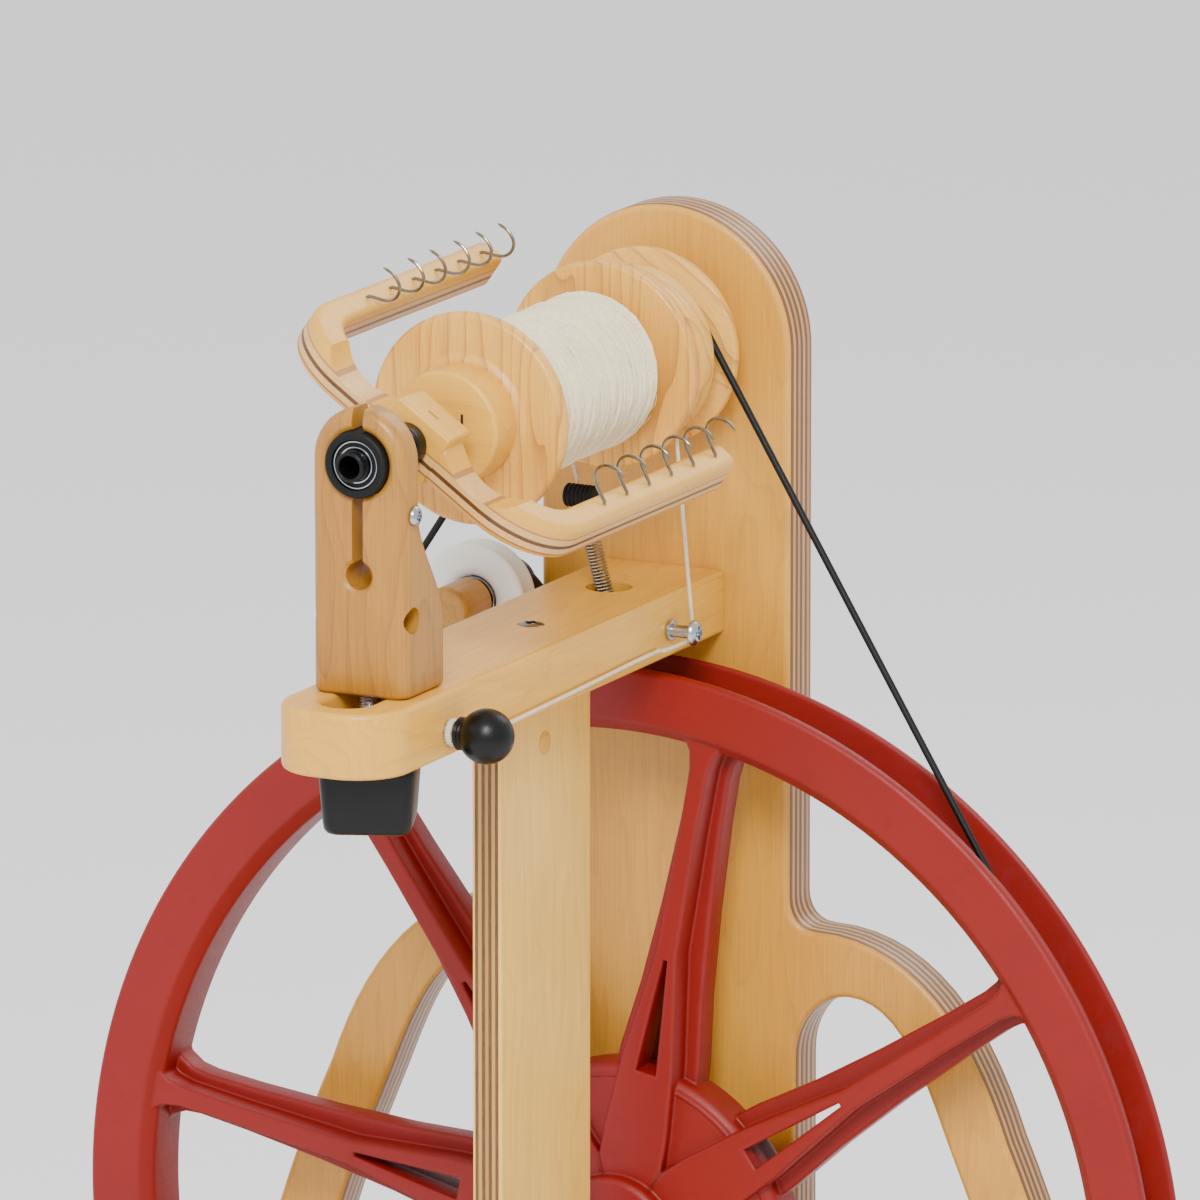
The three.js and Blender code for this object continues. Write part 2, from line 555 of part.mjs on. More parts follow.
// ---- treadles: plates on a steel rod, each with a tail that passes under the backboard ----
function treadleOutline(m) {
  const { inner: a, outer: b, front, tail, pinX } = TREADLE;
  const s = new THREE.Shape();
  s.moveTo(m * a, front + 10);
  s.quadraticCurveTo(m * a, front, m * (a + 10), front);
  s.lineTo(m * (b - 22), front);
  s.quadraticCurveTo(m * b, front, m * b, front + 22);
  s.lineTo(m * b, -120);
  s.bezierCurveTo(m * b, -60, m * (pinX + 14), -70, m * (pinX + 12), -16);
  s.lineTo(m * (pinX + 10), tail);
  s.lineTo(m * (pinX - 10), tail);
  s.lineTo(m * (pinX - 12), -16);
  s.bezierCurveTo(m * (pinX - 13), -50, m * a, -50, m * a, -90);
  s.closePath();
  return s;
}

function treadle(m, pinEnd) {
  const { bottom, top, tail, pinX, pinZ } = TREADLE;
  const knuckle = (x) => box(m * x - 8, m * x + 8, ROD.y - 8.5, ROD.y + 8.5, FLOOR + 41, bottom + 0.5);
  return cut(
    join(
      boardXY(treadleOutline(m), bottom, top, 6),
      knuckle(32),
      knuckle(94),
      box(m * pinX - 6, m * pinX + 6, tail - 5, tail, bottom, pinZ + 5),
      rod("y", tail - 3, pinEnd - 2.5, 3.5, [m * pinX, pinZ], 16),
    ),
    rod("x", -130, 130, ROD.radius + GAP, [ROD.y, ROD.z]),
  );
}
add("treadle_right", treadle(1, CRANK.pinA[0]), "plywood");
add("treadle_left", treadle(-1, CRANK.pinB[0]), "plywood");

// ---- idler pulley on its dowel, carried by a short arm behind the wheel's rim ----
const I = [IDLER.x, IDLER.z];
const armShape = taper([[0, 8], [26, 8]]);
const idlerArm = join(
  boardXZ(armShape, -12.4, -4, 1).rotate([0, 45, 0]).translate([IDLER.x, 0, IDLER.z]),
  rod("y", -12.4, -4, 9, I),
  rod("y", -12.4, -GAP, 9, [IDLER.x + 18.4, IDLER.z - 18.4]),
);
add("idler_arm", idlerArm, "black");
const dowel = join(rod("y", -55, IDLER.front - 1, IDLER.dowel, I), rod("y", -36.5, -12.7, 4, I, 20));
add("idler_dowel", dowel, "cherry");
add("idler_bearing", bush(8, 4 + GAP, IDLER.front + 0.5, IDLER.rear - 0.5, I), "steel");
add("idler_pulley", turned([[8.3, IDLER.front + 1.5], [11, IDLER.front], [IDLER.radius - 0.6, IDLER.front],
  [IDLER.radius, IDLER.front + 1.4], [IDLER.radius - 5, IDLER.front + 5], [IDLER.radius, IDLER.rear - 1.4],
  [IDLER.radius - 0.6, IDLER.rear], [8.3, IDLER.rear]], I, 28), "white");

// ---- drive band: one loop over the wheel's front groove and the whorl ----
function bandPoints() {
  const { wheelRadius: big, wheelY, whorlRadius: small, whorlY, thick } = BAND;
  const R = big + thick * 0.4;
  const r = small + thick * 0.3;
  const lean = Math.asin((R - r) / FLYER_Z);
  const points = [];
  const arc = (radius, y, z, from, to, steps) => {
    for (let i = 0; i <= steps; i++) {
      const angle = from + ((to - from) * i) / steps;
      points.push([radius * Math.cos(angle), y, z + radius * Math.sin(angle)]);
    }
  };
  arc(r, whorlY, FLYER_Z, lean, Math.PI - lean, 10);
  arc(R, wheelY, 0, Math.PI - lean, 2 * Math.PI + lean, 36);
  return points;
}
add("drive_band", cord(bandPoints(), BAND.thick, { closed: true }), "black");

// ---- stand the wheel on the floor, centred front to back ----
const root = new THREE.Group();
const rearMost = CRANK.pinB[1];
assembly.position.set(0, -(TREADLE.front + rearMost) / 2, AXLE_HEIGHT);
root.add(assembly);

export default root;
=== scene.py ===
import json
import math
import random

import bmesh
import bpy
from mathutils import Matrix, Vector
from mathutils.geometry import tessellate_polygon


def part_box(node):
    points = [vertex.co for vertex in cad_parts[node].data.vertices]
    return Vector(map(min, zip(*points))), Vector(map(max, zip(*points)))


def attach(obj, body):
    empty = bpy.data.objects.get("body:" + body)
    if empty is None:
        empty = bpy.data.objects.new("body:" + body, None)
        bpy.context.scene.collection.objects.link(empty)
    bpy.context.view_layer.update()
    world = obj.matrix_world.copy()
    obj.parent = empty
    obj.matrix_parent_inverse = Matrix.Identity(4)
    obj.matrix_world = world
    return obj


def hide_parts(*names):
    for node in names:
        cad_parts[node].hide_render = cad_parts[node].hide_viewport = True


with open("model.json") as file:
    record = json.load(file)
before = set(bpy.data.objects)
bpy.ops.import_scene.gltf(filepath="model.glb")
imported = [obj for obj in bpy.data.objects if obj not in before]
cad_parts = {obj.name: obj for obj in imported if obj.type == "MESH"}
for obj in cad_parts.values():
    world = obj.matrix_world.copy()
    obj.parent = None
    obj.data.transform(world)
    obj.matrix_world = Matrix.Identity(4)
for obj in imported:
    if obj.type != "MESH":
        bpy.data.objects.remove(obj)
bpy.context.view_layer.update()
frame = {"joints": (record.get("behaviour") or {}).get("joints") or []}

# Shapes are drawn in millimetres around the drive wheel's axle, with Y = 0 on the backboard's front face.
SPIN = {joint["name"]: joint for joint in frame["joints"]}
ORIGIN = Vector((0.0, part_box("backboard")[0].y, SPIN["wheel_spin"]["pos_m"][2]))
TO_ROW = Matrix.Translation(ORIGIN) @ Matrix.Scale(0.001, 4)


def drawn_box(node):
    """Lowest and highest corner of a CAD node, in the drawing's millimetres."""
    return [(corner - ORIGIN) * 1000 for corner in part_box(node)]


FLOOR = -ORIGIN.z * 1000
FLYER_Z = (SPIN["flyer_spin"]["pos_m"][2] - ORIGIN.z) * 1000
FLYER_TURN = math.radians(35)  # rest attitude of the flyer
FLYER = Matrix.Translation((0, 0, FLYER_Z)) @ Matrix.Rotation(FLYER_TURN, 4, "Y")
BOBBIN = Matrix.Translation((0, 0, FLYER_Z))
AXIS_X = Matrix.Rotation(-math.pi / 2, 4, "Z")  # turns a lathe body's axis from Y to X
AXIS_Z = Matrix.Rotation(math.pi / 2, 4, "X")  # turns it from Y to Z
TURN_X = Matrix.Rotation(math.pi / 2, 4, "Z")  # turns a screw head from -Y to +X
TURN_UP = Matrix.Rotation(-math.pi / 2, 4, "X")  # turns it from -Y to +Z

# Sizes that more than one piece shares, in millimetres.
BOARD_DEPTH = 18.4  # backboard plywood
POST_DEPTH = 11.0
TREADLE_DEPTH = 12.0
ARM_DEPTH = 14.0  # flyer laminate
CLAMP_Y = -218  # clamp bolt under the maiden
MAIDEN_TOP = 328
CRANK_THROW = 26
PIN_X = 42  # treadle pin, sideways from the middle
PIN_Z = FLOOR + 69  # treadle pin's height


# ---- shapes: pairs of a vertex list and a face list ----
def merged(*shapes):
    verts, faces = [], []
    for v, f in shapes:
        faces += [[i + len(verts) for i in face] for face in f]
        verts += v
    return verts, faces


def moved(shape, matrix):
    return [matrix @ Vector(v) for v in shape[0]], shape[1]


def shifted(shape, x, y, z):
    return moved(shape, Matrix.Translation((x, y, z)))


def softened(points, radius, closed, steps=3):
    """The outline with each corner replaced by a short curve that starts radius away from it."""
    out = []
    count = len(points)
    for i, p in enumerate(points):
        p = Vector(p)
        if not closed and i in (0, count - 1):
            out.append(p)
            continue
        before = Vector(points[i - 1]) - p
        after = Vector(points[(i + 1) % count]) - p
        reach = min(radius, before.length * 0.45, after.length * 0.45)
        bend = before.angle(after, math.pi) if before.length and after.length else math.pi
        if math.pi - bend < 0.15 or reach < 1e-3:
            out.append(p)
            continue
        a = p + before.normalized() * reach
        b = p + after.normalized() * reach
        for k in range(steps + 1):
            t = k / steps
            out.append(a * (1 - t) ** 2 + p * (2 * t * (1 - t)) + b * t ** 2)
    return out


def lathe(profile, sides=72, soft=0.5, steps=3):
    """A body turned about Y from [radius, y] points; one that starts off the axis closes on itself."""
    closed = profile[0][0] > 1e-6
    points = softened([Vector(p) for p in profile], soft, closed, steps)
    count = len(points)
    verts = []
    for k in range(sides):
        a = 2 * math.pi * k / sides
        verts += [Vector((p.x * math.cos(a), p.y, p.x * math.sin(a))) for p in points]
    faces = []
    for k in range(sides):
        n = (k + 1) % sides
        for i in range(count if closed else count - 1):
            j = (i + 1) % count
            faces.append([k * count + i, k * count + j, n * count + j, n * count + i])
    return verts, faces


def rod(radius, y0, y1, sides=40, soft=0.5):
    return lathe([[0, y0], [radius, y0], [radius, y1], [0, y1]], sides, soft)


def ring(outer, inner, y0, y1, sides=56, soft=0.35):
    return lathe([[inner, y0], [outer, y0], [outer, y1], [inner, y1]], sides, soft)


def area(points):
    return sum(a[0] * b[1] - b[0] * a[1] for a, b in zip(points, points[1:] + points[:1])) / 2


def inset(points, distance):
    out = []
    count = len(points)
    for i, p in enumerate(points):
        a = (Vector(p) - Vector(points[i - 1])).normalized()
        b = (Vector(points[(i + 1) % count]) - Vector(p)).normalized()
        na, nb = Vector((-a.y, a.x)), Vector((-b.y, b.x))
        mid = na + nb
        mid = na if mid.length < 1e-6 else mid.normalized()
        out.append(Vector(p) + mid * distance / max(0.5, mid.dot(na)))
    return out


PLANES = {
    "xz": lambda u, v, w: Vector((u, w, v)),
    "xy": lambda u, v, w: Vector((u, v, w)),
    "yz": lambda u, v, w: Vector((w, u, v)),
}


def board(plane, outlines, low, high, edge=1.2, steps=3):
    """A board with rounded edges: the first outline is its border and the others are holes."""
    place = PLANES[plane]
    loops = []
    for i, points in enumerate(outlines):
        points = [Vector(p) for p in points]
        points = [p for k, p in enumerate(points) if (p - points[k - 1]).length > 0.05]
        outward = area([tuple(p) for p in points]) > 0
        loops.append(points if outward == (i == 0) else points[::-1])
    levels = [(edge + 0.5, low)]
    levels += [(edge * (1 - math.sin(a)), low + edge * (1 - math.cos(a)))
               for a in [math.pi / 2 * k / steps for k in range(steps + 1)]]
    levels += [(d, high + low - z) for d, z in levels[::-1]]
    verts, faces, rims = [], [], []
    for points in loops:
        start = len(verts)
        count = len(points)
        for distance, w in levels:
            verts += [place(p.x, p.y, w) for p in inset(points, distance)]
        for r in range(len(levels) - 1):
            for k in range(count):
                n = (k + 1) % count
                a, b = start + r * count, start + (r + 1) * count
                faces.append([a + k, a + n, b + n, b + k])
        rims.append((start, start + (len(levels) - 1) * count, count))
    for side in (0, 1):
        indices = [r[side] + k for r in rims for k in range(r[2])]
        flat = [[Vector((p.x, p.y, 0)) for p in inset(points, edge + 0.5)] for points in loops]
        faces += [[indices[i] for i in tri] for tri in tessellate_polygon(flat)]
    return verts, faces


def block(x0, x1, y0, y1, z0, z1, edge=0.8):
    return board("xy", [[(x0, y0), (x1, y0), (x1, y1), (x0, y1)]], z0, z1, edge)


def arc(cx, cy, radius, start, end, steps):
    """Points of an arc, its angles in degrees."""
    angles = [math.radians(start + (end - start) * k / steps) for k in range(steps + 1)]
    return [(cx + radius * math.cos(a), cy + radius * math.sin(a)) for a in angles]


def circle(cx, cy, radius, steps=40):
    return arc(cx, cy, radius, 0, 360 - 360 / steps, steps - 1)


def bezier(p, a, b, q, steps=14):
    out = []
    for k in range(1, steps + 1):
        t = k / steps
        w = ((1 - t) ** 3, 3 * t * (1 - t) ** 2, 3 * t * t * (1 - t), t ** 3)
        out.append((sum(w[i] * c[0] for i, c in enumerate((p, a, b, q))),
                    sum(w[i] * c[1] for i, c in enumerate((p, a, b, q)))))
    return out


def rounded(x0, y0, x1, y1, r, steps=8):
    return (arc(x1 - r, y0 + r, r, -90, 0, steps) + arc(x1 - r, y1 - r, r, 0, 90, steps)
            + arc(x0 + r, y1 - r, r, 90, 180, steps) + arc(x0 + r, y0 + r, r, 180, 270, steps))


def tube(points, radius, sides=10, closed=False):
    """A round wire or cord through points; radius may be one number or one for each point."""
    path = [Vector(p) for p in points]
    count = len(path)
    radii = radius if isinstance(radius, list) else [radius] * count
    across = Vector((0.3, 0.2, 1.0))
    verts, faces = [], []
    for i, p in enumerate(path):
        after = path[(i + 1) % count] if closed or i < count - 1 else p
        before = path[i - 1] if closed or i else p
        along = (after - before).normalized()
        across = (across - along * across.dot(along)).normalized()
        up = along.cross(across)
        for k in range(sides):
            a = 2 * math.pi * k / sides
            verts.append(p + (across * math.cos(a) + up * math.sin(a)) * radii[i])
    for i in range(count if closed else count - 1):
        for k in range(sides):
            a, b = i * sides + k, i * sides + (k + 1) % sides
            c, d = (a + sides) % len(verts), (b + sides) % len(verts)
            faces.append([a, b, d, c])
    if not closed:
        faces += [list(range(sides))[::-1], [(count - 1) * sides + k for k in range(sides)]]
    return verts, faces


def smooth_path(points, step=1.0, closed=False):
    """Catmull-Rom points about step millimetres apart."""
    path = [Vector(p) for p in points]
    count = len(path)
    out = []
    for i in range(count if closed else count - 1):
        p = [path[(i + k) % count] if closed else path[min(max(i + k, 0), count - 1)] for k in (-1, 0, 1, 2)]
        pieces = max(1, round((p[2] - p[1]).length / step))
        for k in range(pieces):
            t = k / pieces
            out.append(0.5 * (2 * p[1] + (p[2] - p[0]) * t + (2 * p[0] - 5 * p[1] + 4 * p[2] - p[3]) * t ** 2
                              + (3 * p[1] - p[0] - 3 * p[2] + p[3]) * t ** 3))
    return out if closed else out + [path[-1]]


def twisted(points, radius, strands, pitch, closed=False, step=0.7):
    """A cord laid up from strands that turn once every pitch millimetres."""
    path = smooth_path(points, step, closed)
    across = Vector((0.3, 0.2, 1.0))
    travelled = 0.0
    lines = [[] for _ in range(strands)]
    for i, p in enumerate(path):
        after = path[min(i + 1, len(path) - 1)]
        before = path[max(i - 1, 0)]
        along = (after - before).normalized()
        across = (across - along * across.dot(along)).normalized()
        up = along.cross(across)
        travelled += (p - before).length
        for s, line in enumerate(lines):
            a = 2 * math.pi * (travelled / pitch + s / strands)
            line.append(p + (across * math.cos(a) + up * math.sin(a)) * radius * 0.5)
    return merged(*[tube(line, radius * 0.56, 6) for line in lines])


def loft(sections):
    """A closed skin over point rings of one size."""
    count = len(sections[0])
    verts = [Vector(p) for section in sections for p in section]
    faces = []
    for r in range(len(sections) - 1):
        for k in range(count):
            n = (k + 1) % count
            faces.append([r * count + k, r * count + n, (r + 1) * count + n, (r + 1) * count + k])
    last = (len(sections) - 1) * count
    return verts, faces + [list(range(count))[::-1], [last + k for k in range(count)]]


def solid_object(shape):
    mesh = bpy.data.meshes.new("solid")
    mesh.from_pydata([tuple(v) for v in shape[0]], [], shape[1])
    bm = bmesh.new()
    bm.from_mesh(mesh)
    bmesh.ops.remove_doubles(bm, verts=bm.verts, dist=1e-4)
    bmesh.ops.dissolve_degenerate(bm, edges=bm.edges, dist=1e-5)
    bmesh.ops.recalc_face_normals(bm, faces=bm.faces)
    bm.to_mesh(mesh)
    bm.free()
    obj = bpy.data.objects.new("solid", mesh)
    bpy.context.scene.collection.objects.link(obj)
    return obj


def carved(shape, *tools):
    """The shape with the tools cut out of it."""
    body = solid_object(shape)
    for tool in tools:
        cutter = solid_object(tool)
        modifier = body.modifiers.new("cut", "BOOLEAN")
        modifier.operation = "DIFFERENCE"
        modifier.solver = "EXACT"
        modifier.object = cutter
        graph = bpy.context.evaluated_depsgraph_get()
        mesh = bpy.data.meshes.new_from_object(body.evaluated_get(graph))
        body.modifiers.clear()
        body.data = mesh
        bpy.data.objects.remove(cutter)
    result = [v.co.copy() for v in body.data.vertices], [list(p.vertices) for p in body.data.polygons]
    bpy.data.objects.remove(body)
    return result


# ---- materials ----
def linear(rgb):
    """An sRGB colour of 0 to 255 as a linear one with alpha."""
    parts = [c / 255 for c in rgb]
    return tuple(c / 12.92 if c <= 0.04045 else ((c + 0.055) / 1.055) ** 2.4 for c in parts) + (1,)


class Nodes:
    """Short names for the nodes of one material."""

    def __init__(self, name):
        self.material = bpy.data.materials.new(name)
        self.material.use_nodes = True
        self.tree = self.material.node_tree
        self.shader = self.tree.nodes["Principled BSDF"]

    def node(self, kind, inputs=None, **settings):
        made = self.tree.nodes.new(kind)
        for key, value in settings.items():
            setattr(made, key, value)
        for key, value in (inputs or {}).items():
            self.put(made.inputs[key], value)
        return made

    def put(self, socket, value):
        if isinstance(value, bpy.types.NodeSocket):
            self.tree.links.new(value, socket)
        else:
            socket.default_value = value

    def grain(self, scale, shift=(0, 0, 0)):
        place = self.node("ShaderNodeAttribute", attribute_name="grain")
        settings = {"Vector": place.outputs["Vector"], "Scale": scale, "Location": shift}
        return self.node("ShaderNodeMapping", settings).outputs["Vector"]

    def noise(self, scale, detail=3.0, rough=0.55, distortion=0.0, shift=(0, 0, 0)):
        settings = {"Vector": self.grain(scale, shift), "Scale": 1.0, "Detail": detail, "Roughness": rough,
                    "Distortion": distortion}
        return self.node("ShaderNodeTexNoise", settings).outputs["Fac"]

    def math(self, operation, *values):
        made = self.node("ShaderNodeMath", operation=operation)
        for i, value in enumerate(values):
            self.put(made.inputs[i], value)
        return made.outputs[0]

    def ramp(self, value, stops, interpolation="LINEAR"):
        made = self.node("ShaderNodeValToRGB", {"Fac": value})
        made.color_ramp.interpolation = interpolation
        elements = made.color_ramp.elements
        while len(elements) < len(stops):
            elements.new(0.5)
        for element, (at, colour) in zip(elements, stops):
            element.position = at
            element.color = colour
        return made.outputs["Color"]

    def span(self, value, low, high, to_low=0.0, to_high=1.0):
        made = self.node("ShaderNodeMapRange", {0: value, 1: low, 2: high, 3: to_low, 4: to_high})
        return made.outputs[0]

    def mix(self, factor, a, b, blend="MIX"):
        made = self.node("ShaderNodeMix", data_type="RGBA", blend_type=blend)
        self.put(made.inputs[0], factor)
        self.put(made.inputs[6], a)
        self.put(made.inputs[7], b)
        return made.outputs[2]

    def bump(self, height, strength, distance, bevel=None):
        made = self.node("ShaderNodeBump", {"Height": height, "Strength": strength, "Distance": distance})
        if bevel:
            rounding = self.node("ShaderNodeBevel", {"Radius": bevel}, samples=4)
            self.put(made.inputs["Normal"], rounding.outputs[0])
        self.put(self.shader.inputs["Normal"], made.outputs[0])

    def set(self, **values):
        for key, value in values.items():
            self.put(self.shader.inputs[key.replace("_", " ")], value)


def wood(name, pale, warm, dark, rings=0.11, streak=0.5, layers=None, thickness=1.0, figure=0.35):
    """Lacquered wood; the grain runs along the first coordinate and plies are stacked along the third."""
    n = Nodes(name)
    warp = n.noise((0.006, 0.03, 0.03), 2.0, distortion=0.4)
    place = n.node("ShaderNodeSeparateXYZ", {"Vector": n.grain((1, 1, 1))})
    across = n.math("ADD", place.outputs["Y"], n.math("MULTIPLY", place.outputs["Z"], 0.6))
    phase = n.math("ADD", n.math("MULTIPLY", across, rings), n.math("MULTIPLY", warp, 9.0))
    bands = n.math("FRACT", phase)
    line = n.math("POWER", bands, 5.0)
    fibre = n.noise((0.035, 1.3, 1.3), 6.0, 0.65)
    fleck = n.span(n.noise((0.18, 2.6, 2.6), 2.0), 0.62, 0.74)
    cloud = n.noise((0.004, 0.012, 0.012), 2.0, shift=(7, 3, 1))
    colour = n.mix(n.span(cloud, 0.3, 0.7), linear(pale), linear(warm))
    colour = n.mix(n.math("MULTIPLY", line, figure), colour, linear(dark))
    colour = n.mix(n.span(fibre, 0.35, 0.8, 0.0, streak), colour, linear(dark))
    colour = n.mix(n.math("MULTIPLY", fleck, 0.22), colour, linear(dark))
    if layers:
        depth = n.math("DIVIDE", place.outputs["Z"], thickness)
        stops = [(at, linear(c)) for at, c in layers]
        ply = n.ramp(depth, stops, "CONSTANT")
        edge_only = [(at, (0, 0, 0, 1) if c == pale else (1, 1, 1, 1)) for at, c in layers]
        mask = n.ramp(depth, edge_only, "CONSTANT")
        end_grain = n.noise((0.25, 0.9, 3.5), 4.0, 0.7)
        shade = n.mix(n.span(end_grain, 0.3, 0.75, 0.0, 0.5), ply, linear(dark))
        colour = n.mix(mask, colour, shade)
    rough = n.span(fibre, 0.3, 0.8, 0.36, 0.52)
    n.set(Base_Color=colour, Roughness=rough)
    n.shader.inputs["Coat Weight"].default_value = 0.12
    n.shader.inputs["Coat Roughness"].default_value = 0.3
    n.bump(n.math("SUBTRACT", fibre, n.math("MULTIPLY", fleck, 0.6)), 0.22, 0.0001)
    return n.material


def moulded(name, colour, worn, rough=0.4, metallic=0.0, grain=0.4, bevel=None, mottle=0.25, specular=0.5):
    n = Nodes(name)
    cloud = n.noise((0.02, 0.02, 0.02), 4.0)
    speck = n.noise((0.9, 0.9, 0.9), 5.0, 0.6)
    shade = n.mix(n.span(cloud, 0.35, 0.7, 0.0, mottle), linear(colour), linear(worn))
    scuff = n.span(n.noise((0.08, 0.5, 0.08), 4.0, 0.7, 0.6), 0.56, 0.72, 0.0, 0.3)
    n.set(Base_Color=n.mix(n.math("MULTIPLY", scuff, 0.5), shade, linear(worn)))
    satin = n.span(speck, 0.3, 0.7, rough - 0.06, rough + 0.06)
    n.set(Roughness=n.math("ADD", satin, n.math("MULTIPLY", scuff, 0.4)))
    n.shader.inputs["Metallic"].default_value = metallic
    n.shader.inputs["Specular IOR Level"].default_value = specular
    n.bump(speck, grain, 0.00006, bevel)
    return n.material


def spun(name, colour, dark, scale=1.0):
    n = Nodes(name)
    strand = n.noise((1.4 * scale, 0.5 * scale, 1.4 * scale), 6.0, 0.7, 0.8)
    cloud = n.noise((0.05, 0.08, 0.05), 3.0)
    shade = n.mix(n.span(strand, 0.35, 0.7, 0.0, 0.65), linear(colour), linear(dark))
    n.set(Base_Color=n.mix(n.span(cloud, 0.4, 0.7, 0.0, 0.3), shade, linear(dark)))
    n.shader.inputs["Roughness"].default_value = 0.92
    n.shader.inputs["Sheen Weight"].default_value = 0.35
    n.shader.inputs["Sheen Roughness"].default_value = 0.5
    n.bump(strand, 0.8, 0.0003)
    return n.material


def plies(pale, tones, faces=0.07):
    """Stops of a ply edge: a face veneer at each side and the tones in turn between them."""
    step = (1 - 2 * faces) / len(tones)
    stops = [(0.0, pale)] + [(faces + step * i, tone) for i, tone in enumerate(tones)]
    return stops + [(1 - faces, pale)]


MAPLE = (232, 176, 62)
BIRCH = (222, 164, 58)
POST = (244, 198, 94)
# Colours of the plies seen on an edge, in order between the two faces.
EDGE = [(96, 58, 24), (202, 148, 68), (76, 44, 18), (186, 132, 58), (70, 40, 15), (202, 148, 68),
        (76, 44, 18), (186, 132, 58), (96, 58, 24)]
POST_EDGE = [(58, 38, 14), (186, 140, 68), (40, 26, 9), (170, 126, 56), (40, 26, 9), (186, 140, 68),
             (58, 38, 14)]
MATERIALS = {
    "maple": wood("maple", MAPLE, (222, 162, 50), (172, 100, 28), 0.09, 0.3, figure=0.2),
    "beech": wood("bobbin_beech", (240, 186, 80), (228, 166, 60), (148, 80, 20), 0.16, 0.4, figure=0.6),
    "plywood": wood("plywood", BIRCH, (204, 142, 42), (144, 84, 22), 0.05, 0.36, plies(BIRCH, EDGE),
                    BOARD_DEPTH, 0.16),
    "post_ply": wood("post_plywood", POST, (236, 184, 78), (172, 108, 32), 0.06, 0.32,
                     plies(POST, POST_EDGE, 0.1), POST_DEPTH, 0.14),
    "treadle_ply": wood("treadle_plywood", BIRCH, (204, 142, 42), (144, 84, 22), 0.06, 0.38,
                        plies(BIRCH, EDGE[:7], 0.1), TREADLE_DEPTH, 0.2),
    "cherry": wood("cherry", (186, 134, 42), (168, 112, 30), (112, 62, 16), 0.1, 0.45, figure=0.35),
    "laminate": wood("flyer_laminate", MAPLE, (222, 162, 50), (172, 100, 28), 0.09, 0.26,
                     [(0.0, MAPLE), (0.13, (150, 96, 44)), (0.18, (226, 182, 110)), (0.33, (36, 22, 12)),
                      (0.43, (226, 182, 110)), (0.6, (176, 120, 60)), (0.65, MAPLE)], ARM_DEPTH, 0.14),
    "red": moulded("red_moulding", (128, 13, 7), (100, 8, 5), 0.46, grain=0.3, bevel=0.0012, specular=0.35),
    "black": moulded("black_moulding", (5, 6, 6), (20, 20, 20), 0.34, grain=0.5, bevel=0.0004, specular=0.25),
    "rubber": moulded("black_rubber", (8, 8, 8), (22, 21, 20), 0.6, grain=0.8, specular=0.25),
    "steel": moulded("zinc_steel", (178, 184, 192), (128, 130, 132), 0.22, 1.0, 0.15),
    "nickel": moulded("nickel_wire", (140, 130, 114), (84, 76, 64), 0.2, 1.0, 0.1),
    "white": moulded("white_nylon", (236, 235, 231), (214, 212, 204), 0.42, grain=0.3, bevel=0.0005),
    "band": moulded("drive_band_cord", (8, 8, 9), (24, 24, 24), 0.45, grain=0.9, specular=0.25),
    "yarn": spun("spun_wool", (252, 240, 204), (204, 184, 136)),
    "cord": spun("cotton_cord", (232, 222, 196), (164, 146, 110), 2.0),
    # painted shade: a near-black brown that stands in for the shade inside slots and notches
    "painted_slot_shade": moulded("painted_recess_shade", (30, 22, 16), (44, 32, 22), 0.8),
}
GRAIN = {
    "x": lambda v: (v.x, v.y, v.z),
    "y": lambda v: (v.y, v.x, v.z),
    "z": lambda v: (v.z, v.x, v.y),
    "zy": lambda v: (v.z, v.y, v.x),
}


def piece(name, shape, material, body, replaced=(), place=None, grain="x", crease=32, start=0.0):
    """A visible piece. Its third grain coordinate counts from start, where its first ply begins."""
    obj = solid_object(shape)
    obj.name = obj.data.name = name
    mesh = obj.data
    shift = random.Random(name).uniform(0, 400)
    order = GRAIN[grain]
    values = []
    for vertex in mesh.vertices:
        a, b, c = order(vertex.co)
        values += [a + shift, b + shift * 0.3, c - start]
    attribute = mesh.attributes.new("grain", "FLOAT_VECTOR", "POINT")
    attribute.data.foreach_set("vector", values)
    mesh.transform(TO_ROW @ (place or Matrix.Identity(4)))
    mesh.shade_smooth()
    mesh.set_sharp_from_angle(angle=math.radians(crease))
    mesh.materials.append(MATERIALS[material])
    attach(obj, body)
    if replaced:
        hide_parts(*([replaced] if isinstance(replaced, str) else replaced))


def screw_head(radius, height):
    """A pan head on the -Y side of y = 0 with a cross recess."""
    dome = lathe([[0, -height], [radius * 0.6, -height * 0.93], [radius * 0.9, -height * 0.62],
                  [radius, -height * 0.2], [radius, 0], [0, 0]], 40, 0.4)
    arm = radius * 0.55
    cross = [block(-arm, arm, -height - 1, -height * 0.42, -0.22 * radius, 0.22 * radius, 0.05),
             block(-0.22 * radius, 0.22 * radius, -height - 1, -height * 0.42, -arm, arm, 0.05)]
    return carved(dome, *cross)


# ---- backboard ----
def mirrored(points):
    """The outline's other half, across X = 0, in the order that goes on round it."""
    return [(-x, z) for x, z in reversed(points)]


